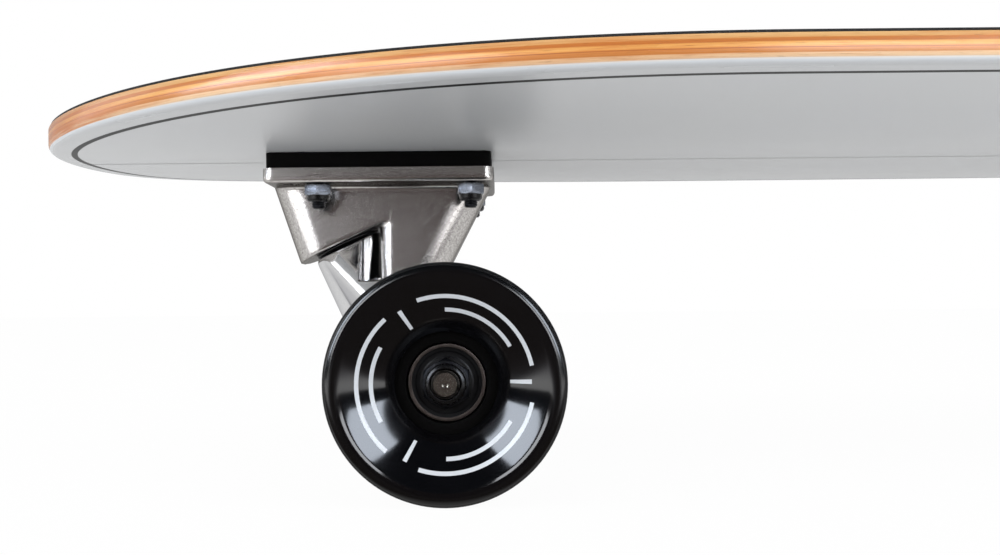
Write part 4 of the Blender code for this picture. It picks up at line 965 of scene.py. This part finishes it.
for side in (-1, 1):
    web_points += circle(AXLE_MIDDLE + SIDEWAYS * side * WEB_HALF_WIDTH, BARREL_RADIUS - SKIN, ALONG, UP)
beam_profile = [(0, HANGER_HALF_WIDTH), (BARREL_END_RADIUS, HANGER_HALF_WIDTH),
                (BARREL_RADIUS, HANGER_HALF_WIDTH * BARREL_STRAIGHT)]
beam = turned(both_sides(beam_profile), 96, closed=False)
beam.transform(along(SIDEWAYS, AXLE_MIDDLE))
hanger = cast((neck, ring, hull(web_points), beam, arm(-1), arm(1)), 0.6 * MM, 16)

leg_rooms = []
washer_room = []
for step in range(-SWING_STEPS, SWING_STEPS + 1):
    swing = (Matrix.Translation(TURN_CENTRE) @ Matrix.Rotation(step / SWING_STEPS * STEER_RANGE, 4, TURN_DOWN)
             @ Matrix.Translation(-TURN_CENTRE))
    leg_room = kingpin_leg(SWING_CLEARANCE)
    leg_room.transform(swing)
    leg_rooms.append(leg_room)
    washer = on_pin(BUSHING_RADIUS + SEAT + WASHER_THICKNESS + SWING_CLEARANCE, -SWING_CLEARANCE,
                    WASHER_THICKNESS + WASHER_LIP + SWING_CLEARANCE)
    washer_room += [swing @ vert.co for vert in washer.verts]
    washer.free()
bushing_room = BUSHING_RADIUS + SWING_CLEARANCE
ring_bottom = RING_TOP + RING_THICKNESS
rooms = [on_pin(*room, 64) for room in ((bushing_room, -SWING_CLEARANCE, RING_TOP),
                                        (bushing_room, ring_bottom, 2 * KINGPIN_END),
                                        (RING_BORE, RING_TOP - MM, ring_bottom + MM))]
axle_room = rod(AXLE_RADIUS + SEAT, -2 * HANGER_HALF_WIDTH, 2 * HANGER_HALF_WIDTH, SIDEWAYS, AXLE_MIDDLE, 48)
hanger = carved(hanger, neck_flat(-1), neck_flat(1), *leg_rooms, hull(washer_room), solver="MANIFOLD")
# Melted once more, so that the edges of those rooms are cast round, and then bored.
hanger = carved(cast((hanger,), 0.55 * MM, 8), *rooms, axle_room, solver="MANIFOLD")

polished = Finish("polished_aluminium", Metallic=1.0, Specular_Tint=0xd4d4d6)
scuffs = polished.grain((1.2, 0.25, 1.2))
polished.set(Base_Color=polished.mix(scuffs, 0xd2d2d3, 0xe6e6e6),
             Roughness=0.11 + 0.08 * scuffs)
polished.bumps(polished.grain(14, detail=2.0), 0.1 * MM)
on_trucks("polished_hanger", hanger, (polished,), "{end}_hanger_assembly", "polished_aluminium", "hanger",
          sharp=50)
washers = []
for side in (-1, 1):
    washers.append(turned([(AXLE_RADIUS + SEAT, 0), (SHOULDER_RADIUS, 0), (SHOULDER_RADIUS, SPEED_WASHER - SEAT),
                           (AXLE_RADIUS + SEAT, SPEED_WASHER - SEAT)], 48))
    washers[-1].transform(along(SIDEWAYS * side, AXLE_MIDDLE + SIDEWAYS * side * HANGER_HALF_WIDTH))
on_trucks("inner_speed_washers", joined(*washers), (plated,), "{end}_hanger_assembly", "steel")

# Axles
# One bare steel rod through the hanger, with rolled threads and a chamfer at both ends.

AXLE_HALF_LENGTH = 109.8 * MM
AXLE_THREAD = 14 * MM
AXLE_CHAMFER = 0.7 * MM
TIP_DIMPLE = 0.15 * MM
AXLE_PITCH = 1.05 * MM
tip = [(0, AXLE_HALF_LENGTH - TIP_DIMPLE), (AXLE_RADIUS * 0.16, AXLE_HALF_LENGTH - TIP_DIMPLE),
       (AXLE_RADIUS * 0.22, AXLE_HALF_LENGTH), (AXLE_RADIUS - AXLE_CHAMFER, AXLE_HALF_LENGTH)]
tip += threads(AXLE_RADIUS, AXLE_HALF_LENGTH - AXLE_CHAMFER * 0.8, AXLE_HALF_LENGTH - AXLE_THREAD, AXLE_PITCH)
axle = turned(both_sides(tip), 64, closed=False)
axle.transform(along(SIDEWAYS, AXLE_MIDDLE))
bare_steel = Finish("bare_axle_steel", Metallic=1.0)
turning = bare_steel.grain((0.3, 1.0, 0.12), detail=4.0, roughness=0.7)
bare_steel.set(Base_Color=bare_steel.mix(turning.above(0.5, 0.5), 0x2b2622, 0xa59e95),
               Roughness=0.18 + 0.12 * turning)
bare_steel.bumps(turning, 0.03 * MM)
on_trucks("steel_axle", axle, (bare_steel,), "{end}_hanger_assembly", "steel", "axle", sharp=20)

# Wheels
# Cast black urethane, 67 mm across: a flat ground tread, round lips, and a glossy dished face
# with a pale printed ring of arcs and ticks. It is cast round a hard black core.

WHEELS = {joint["child"]: Vector(joint["pos_m"]) for joint in frame["joints"] if joint.get("continuous")}
WHEEL_RADIUS = 33.5 * MM
WHEEL_HALF_WIDTH = 25.5 * MM
LIP_RADIUS = 2.6 * MM
CREST_RADIUS = 30.9 * MM
CREST_ROUND = 5.0 * MM            # from the crest into the dish
DISH_SLOPE = radians(30)          # where that round ends; it steepens from there to the hub
HUB_MOUTH = 14.5 * MM
DISH_DEPTH = 10.5 * MM
CORE_RADIUS = 17 * MM
CORE_HALF = 13.2 * MM
WHEEL_STEPS = 120
PRINT_RINGS = (24.8 * MM, 23.7 * MM, 21.1 * MM, 20.0 * MM, 17.8 * MM)
PRINT_REPEAT = 120                # degrees, as the angles of its marks
PRINT_ARC = (12, 108)
PRINT_INNER_ARC = (30, 90)
PRINT_TICK = 3


def on_wheels(name, shape, finishes, slot, *nodes, sharp=35):
    """Put one shape, turned about Z with its outer side up, on all four wheels."""
    for body, middle in WHEELS.items():
        copy = shape.copy()
        outwards = Matrix.Rotation(pi / 2 if middle.y < 0 else -pi / 2, 4, "X")
        copy.transform(Matrix.Translation(middle) @ outwards)
        wheel = body.replace("_wheel", "")
        show(f"{wheel}_{name}", copy, finishes, body, slot, *[f"{wheel}_{node}" for node in nodes], sharp=sharp)
    shape.free()


def dish_height(radius):
    """The height of the dished face at a radius: a round off the crest, then a cone that steepens inwards."""
    cone_start = CREST_RADIUS - CREST_ROUND * sin(DISH_SLOPE)
    round_part = min(CREST_RADIUS - radius, CREST_ROUND * sin(DISH_SLOPE))
    drop = CREST_ROUND - (CREST_ROUND ** 2 - round_part ** 2) ** 0.5
    whole = cone_start - HUB_MOUTH
    steepening = (DISH_DEPTH - CREST_ROUND * (1 - cos(DISH_SLOPE)) - tan(DISH_SLOPE) * whole) / whole ** 2
    inwards = max(cone_start - radius, 0)
    return WHEEL_HALF_WIDTH - drop - tan(DISH_SLOPE) * inwards - steepening * inwards ** 2


lip_steps = 10
face = [(WHEEL_RADIUS - LIP_RADIUS + LIP_RADIUS * cos(pi / 2 * k / lip_steps),
         WHEEL_HALF_WIDTH - LIP_RADIUS + LIP_RADIUS * sin(pi / 2 * k / lip_steps)) for k in range(lip_steps + 1)]
face = [(radius, height) for radius, height in face if radius > CREST_RADIUS + 0.05 * MM]
dish_steps = 48
radii = [CREST_RADIUS + (HUB_MOUTH - CREST_RADIUS) * k / dish_steps for k in range(dish_steps + 1)]
radii = sorted([r for r in radii if all(abs(r - ring) > 0.3 * MM for ring in PRINT_RINGS)] + list(PRINT_RINGS),
               reverse=True)
face += [(radius, dish_height(radius)) for radius in radii]
face += [(HUB_MOUTH, CORE_HALF + SEAT), (CORE_RADIUS + SEAT, CORE_HALF + SEAT)]
tyre = turned(both_sides(face), WHEEL_STEPS)
for piece in tyre.faces:
    middle = piece.calc_center_median()
    radius = hypot(middle.x, middle.y)
    angle = degrees(atan2(middle.y, middle.x)) % PRINT_REPEAT
    arc = PRINT_RINGS[1] < radius < PRINT_RINGS[0] and PRINT_ARC[0] < angle < PRINT_ARC[1]
    inner_arc = PRINT_RINGS[3] < radius < PRINT_RINGS[2] and PRINT_INNER_ARC[0] < angle < PRINT_INNER_ARC[1]
    tick = PRINT_RINGS[4] < radius < PRINT_RINGS[1] and angle < PRINT_TICK
    if radius > WHEEL_RADIUS - 0.3 * LIP_RADIUS:
        piece.material_index = 2
    elif radius > CREST_RADIUS + 0.2 * MM:
        piece.material_index = 3
    elif middle.z >= 0 and (arc or inner_arc or tick):
        piece.material_index = 1

urethane = speckled("wheel_urethane", 6, 0x050507, 0x0b0b0d, 0.07, 0.05, IOR=1.5)
ink = speckled("pale_print_ink", 0.5, 0xcfd5dc, 0xdfe4ea, 0.35)
tread = speckled("ground_tread", (0.4, 0.9, 0.4), 0x060607, 0x0e0e10, 0.4, 0.2, detail=2.0,
                 Specular_IOR_Level=0.15)
lip = speckled("dulled_lip", 3, 0x040405, 0x09090a, 0.15, 0.05, IOR=1.5)
on_wheels("urethane_tyre", tyre, (urethane, ink, tread, lip), "wheel_urethane", "tyre", sharp=40)

# Cores and bearings
# The moulded core holds two shielded ball bearings: ground steel races, the outer one in view
# round a black rubber shield.

BEARING_RADIUS = 11 * MM
BEARING_BORE = 4.3 * MM
BEARING_WIDTH = 7 * MM
BEARING_RACE = 1.05 * MM
INNER_RACE = 1.9 * MM
BEARING_OFFSET = 8.5 * MM
SHIELD_RECESS = 0.4 * MM
GROOVE_HALF_MOUTH = 0.9 * MM    # half the width of the groove round the shield, at its face
GROOVE_HALF_FLOOR = 0.6 * MM
GROOVE_DEPTH = 0.2 * MM
CORE_WEB_BORE = 9 * MM
CORE_WEB_HALF = 4.7 * MM

core_side = [(CORE_RADIUS, CORE_HALF), (BEARING_RADIUS + SEAT, CORE_HALF), (BEARING_RADIUS + SEAT, CORE_WEB_HALF),
             (CORE_WEB_BORE, CORE_WEB_HALF)]
core = turned(both_sides(core_side), 96)
moulded = speckled("moulded_core", 0.8, 0x020202, 0x060505, 0.38, 0.15, 0.006 * MM, Specular_IOR_Level=0.04)
on_wheels("moulded_core", softened(core, 0.4 * MM, segments=3), (moulded,), "wheel_core", "core")

race_steel = speckled("bearing_steel", 1.5, 0x4c4542, 0x5d5652, 0.3, 0.1, Metallic=0.9)
shield_rubber = speckled("bearing_shield", 1, 0x08080a, 0x121214, 0.3, 0.1, Specular_IOR_Level=0.15)
half = BEARING_WIDTH / 2
recess = half - SHIELD_RECESS
race_edge = BEARING_RADIUS - BEARING_RACE
inner_edge = BEARING_BORE + INNER_RACE
groove = (race_edge + inner_edge) / 2
side_profile = [(BEARING_RADIUS, half), (race_edge, half), (race_edge, recess),
                (groove + GROOVE_HALF_MOUTH, recess), (groove + GROOVE_HALF_FLOOR, recess - GROOVE_DEPTH),
                (groove - GROOVE_HALF_FLOOR, recess - GROOVE_DEPTH), (groove - GROOVE_HALF_MOUTH, recess),
                (inner_edge, recess), (inner_edge, half), (BEARING_BORE, half)]
for name, offset in (("outer_bearing", BEARING_OFFSET), ("inner_bearing", -BEARING_OFFSET)):
    bearing = turned(both_sides(side_profile), 96)
    for piece in bearing.faces:
        middle = piece.calc_center_median()
        radius = hypot(middle.x, middle.y)
        piece.material_index = 1 if inner_edge + 0.05 * MM < radius < race_edge - 0.05 * MM else 0
    bearing = moved(softened(bearing, 0.12 * MM), (0, 0, offset))
    on_wheels("steel_" + name, bearing, (race_steel, shield_rubber), "bearing_steel", name)

# Axle nuts
# Black lock nuts with a nylon collar, each with a speed washer against the bearing. They stay on
# the axle while the wheel turns.

AXLE_NUT_FLATS = 12.7 * MM
AXLE_NUT_HEX = 5.0 * MM
AXLE_NUT_COLLAR = 2.6 * MM
nut = lock_nut(AXLE_NUT_FLATS, AXLE_NUT_HEX, AXLE_NUT_COLLAR, AXLE_RADIUS + BOLT_CLEARANCE, SPEED_WASHER - SEAT)
for body, middle in WHEELS.items():
    side = copysign(1, middle.y)
    copy = nut.copy()
    copy.transform(along(-SIDEWAYS * side, middle + SIDEWAYS * side * (BEARING_OFFSET + half + SPEED_WASHER)))
    wheel = body.replace("_wheel", "")
    end = body.split("_")[0]
    show(wheel + "_black_axle_nut", copy, (black_steel, nylon), end + "_hanger_assembly", "black_steel",
         wheel + "_axle_nut")
nut.free()

# Studio
# A pale floor in a white surround. In front is a dark booth with soft light panels at its sides, which
# only reflections see: the bright metal and the black wheels mirror it. Two soft lamps light the board.
# The panels lean to one side, because the camera stands to the right of the wheel.

WHITE = (1.0, 1.0, 1.0, 1.0)
LIGHTING_LEVEL = 0.8            # of the surround, as dull surfaces see it
MIRRORED_LEVEL = 0.62           # and as reflections see it
BOOTH_MOUTH = -0.135
BOOTH_BACK = -1.7
BOOTH_LEFT = -2.1
BOOTH_RIGHT = 1.6
BOOTH_TOP = 1.7
CLOTH_TOP = 0.9
PANEL_LEAN = 3.2                # degrees to the left, of the side and front panels
LAMP_AIM = Vector((-0.2, 0, 0.06))
WHEEL_FACE = WHEELS["front_left_wheel"] - SIDEWAYS * WHEEL_HALF_WIDTH


def glowing(name, colour, strength):
    """A card's finish: one colour, which dull surfaces don't see, not even by way of a mirror."""
    finish = Finish(name)
    dull_bounces = finish.node("ShaderNodeLightPath", output="Diffuse Depth")
    glow = finish.node("ShaderNodeEmission", None,
                       {"Color": colour, "Strength": (1 - dull_bounces.above(0.5, 0.2)) * strength})
    finish.surface(glow)
    return finish


def card(name, finish, *corners):
    """A flat card of the studio between four corners."""
    shape = bmesh.new()
    shape.faces.new([shape.verts.new(corner) for corner in corners])
    thing = placed(name, shape, finish)
    return thing


def mirrored_only(name, finish, *corners):
    """A card that nothing but a reflection sees."""
    thing = card(name, finish, *corners)
    for ray in ("camera", "diffuse", "transmission", "shadow"):
        setattr(thing, "visible_" + ray, False)


def seen(off_axis, rise, side, distance):
    """A point as the front wheel sees it, by its angles from the camera's axis and above the level."""
    out = sin(radians(off_axis))
    return WHEEL_FACE + distance * Vector((side * out * cos(radians(rise)), -cos(radians(off_axis)),
                                           out * sin(radians(rise))))


floor_finish = Finish("pale_floor", Base_Color=(0.9, 0.9, 0.9, 1.0), Roughness=0.9)
by_camera = floor_finish.node("ShaderNodeLightPath", output="Is Camera Ray")
by_mirror = floor_finish.node("ShaderNodeLightPath", output="Is Glossy Ray")
x, y, z = floor_finish.place()
forward = 0 - y
beside = abs(x - WHEEL_FACE.x / MM)
aside = (beside / forward).above(0.5, 0.5) * forward.above(205, 60)
level = 0.1 + 0.5 * beside.above(170, 260) + 0.4 * aside
# Mirrors see it dark brown before the wheel, paler to the sides, and white behind the board.
mirrored = floor_finish.ramp(level, (0.0, 0x000000), (0.1, 0x5e5550), (0.3, 0x8b8586),
                             (0.6, 0xc0bfc3), (1.0, 0xffffff))
mirrored = floor_finish.mix(forward.above(1000 * -BOOTH_MOUTH - 20, 10), 0xefefef, mirrored)
white = floor_finish.node("ShaderNodeEmission", None,
                          {"Color": floor_finish.mix(by_mirror, WHITE, mirrored),
                           "Strength": 1 + by_mirror * aside * 1.8})
floor_mix = floor_finish.node("ShaderNodeMixShader", None,
                              {0: by_camera * 0.97 + by_mirror,
                               1: Socket(floor_finish, floor_finish.shader.outputs[0]), 2: white})
floor_finish.surface(floor_mix)
card("floor", floor_finish, (-20, -20, 0), (20, -20, 0), (20, 20, 0), (-20, 20, 0))

brown = glowing("brown_cloth", 0x96807a, 0.2)
cool_dark = glowing("dark_cloth", 0x2a3038, 0.9)
for name, finish, (near_y, low), (far_y, high) in (
        ("back_cloth", brown, (BOOTH_BACK, 0), (BOOTH_BACK, CLOTH_TOP)),
        ("back_top", cool_dark, (BOOTH_BACK, CLOTH_TOP), (BOOTH_BACK, BOOTH_TOP)),
        ("roof", cool_dark, (BOOTH_BACK, BOOTH_TOP), (BOOTH_MOUTH, BOOTH_TOP))):
    mirrored_only(name, finish, (BOOTH_LEFT, near_y, low), (BOOTH_RIGHT, near_y, low),
                  (BOOTH_RIGHT, far_y, high), (BOOTH_LEFT, far_y, high))
for name, x in (("left_side", BOOTH_LEFT), ("right_side", BOOTH_RIGHT)):
    mirrored_only(name, cool_dark, (x, BOOTH_BACK, 0), (x, BOOTH_MOUTH, 0), (x, BOOTH_MOUTH, BOOTH_TOP),
                  (x, BOOTH_BACK, BOOTH_TOP))
# Panel corners: degrees off the camera's axis and above the level, and metres from the wheel.
PANELS = (
    ("side_panel", glowing("side_panel", 0xdfe8f5, 14.0), PANEL_LEAN,
     ((56, 10, 1.0), (72, 11, 1.0), (66, 50, 1.1), (46, 43, 1.1))),
    ("front_panel", glowing("front_panel", 0xf2f5fa, 9.5), PANEL_LEAN,
     ((25, 9, 1.2), (46, 9, 1.2), (40, 54, 1.2), (25, 54, 1.2))),
    ("far_panel", glowing("far_panel", 0xf8f9fc, 2.2), 0,
     ((84, 3, 1.5), (110, 3, 1.5), (110, 32, 1.5), (84, 32, 1.5))))
for side, end in ((-1, "left"), (1, "right")):
    for name, glow, lean, corners in PANELS:
        mirrored_only(f"{end}_{name}", glow, *[seen(off_axis - side * lean, rise, side, distance)
                                               for off_axis, rise, distance in corners])
    lamp = bpy.data.lights.new(end + "_softbox", "AREA")
    lamp.shape = "SQUARE"
    lamp.size = 0.55
    lamp.energy = 4.0
    softbox = linked(end + "_softbox", lamp)
    softbox.location = seen(62, 42, side, 1.25)
    aim = LAMP_AIM - softbox.location
    softbox.rotation_euler = aim.to_track_quat("-Z", "Y").to_euler()
    softbox.visible_camera = False
    softbox.visible_glossy = False

world = bpy.data.worlds.new("white_surround")
bpy.context.scene.world = world
world.use_nodes = True
sky = Nodes(world.node_tree)
# The camera sees pure white, while the paper that lights the board and that it mirrors is less bright.
by_dull = sky.node("ShaderNodeLightPath", output="Is Diffuse Ray")
by_gloss = sky.node("ShaderNodeLightPath", output="Is Glossy Ray")
background = sky.tree.nodes["Background"]
sky.feed(background.inputs["Color"], WHITE)
sky.feed(background.inputs["Strength"],
         (1 - by_dull * (1 - LIGHTING_LEVEL)) * (1 - by_gloss * (1 - MIRRORED_LEVEL)))
bpy.context.scene.view_settings.view_transform = "Standard"

# Camera
# A little below the deck, square to the board's left side, close enough that the front truck and
# the nose fill the frame. It is rolled by half a degree, as the photograph is.

CAMERA_PAST_AXLE = 15.9 * MM
CAMERA_DISTANCE = 409.76 * MM
CAMERA_BELOW_DECK = 55.75 * MM
CAMERA_ROLL = radians(-0.545)
axle_x = TRUCKS["front"].translation.x
lens = bpy.data.cameras.new("camera")
lens.sensor_width = 36
lens.lens = 39.546
lens.shift_x = -0.00265
lens.shift_y = 0.03257
lens.clip_start = 0.01
lens.clip_end = 100
camera = linked("camera", lens)
camera.matrix_world = (Matrix.Translation((axle_x + CAMERA_PAST_AXLE, -CAMERA_DISTANCE,
                                           UNDERSIDE - CAMERA_BELOW_DECK))
                       @ Matrix.Rotation(pi / 2, 4, "X") @ Matrix.Rotation(CAMERA_ROLL, 4, "Z"))
bpy.context.scene.camera = camera
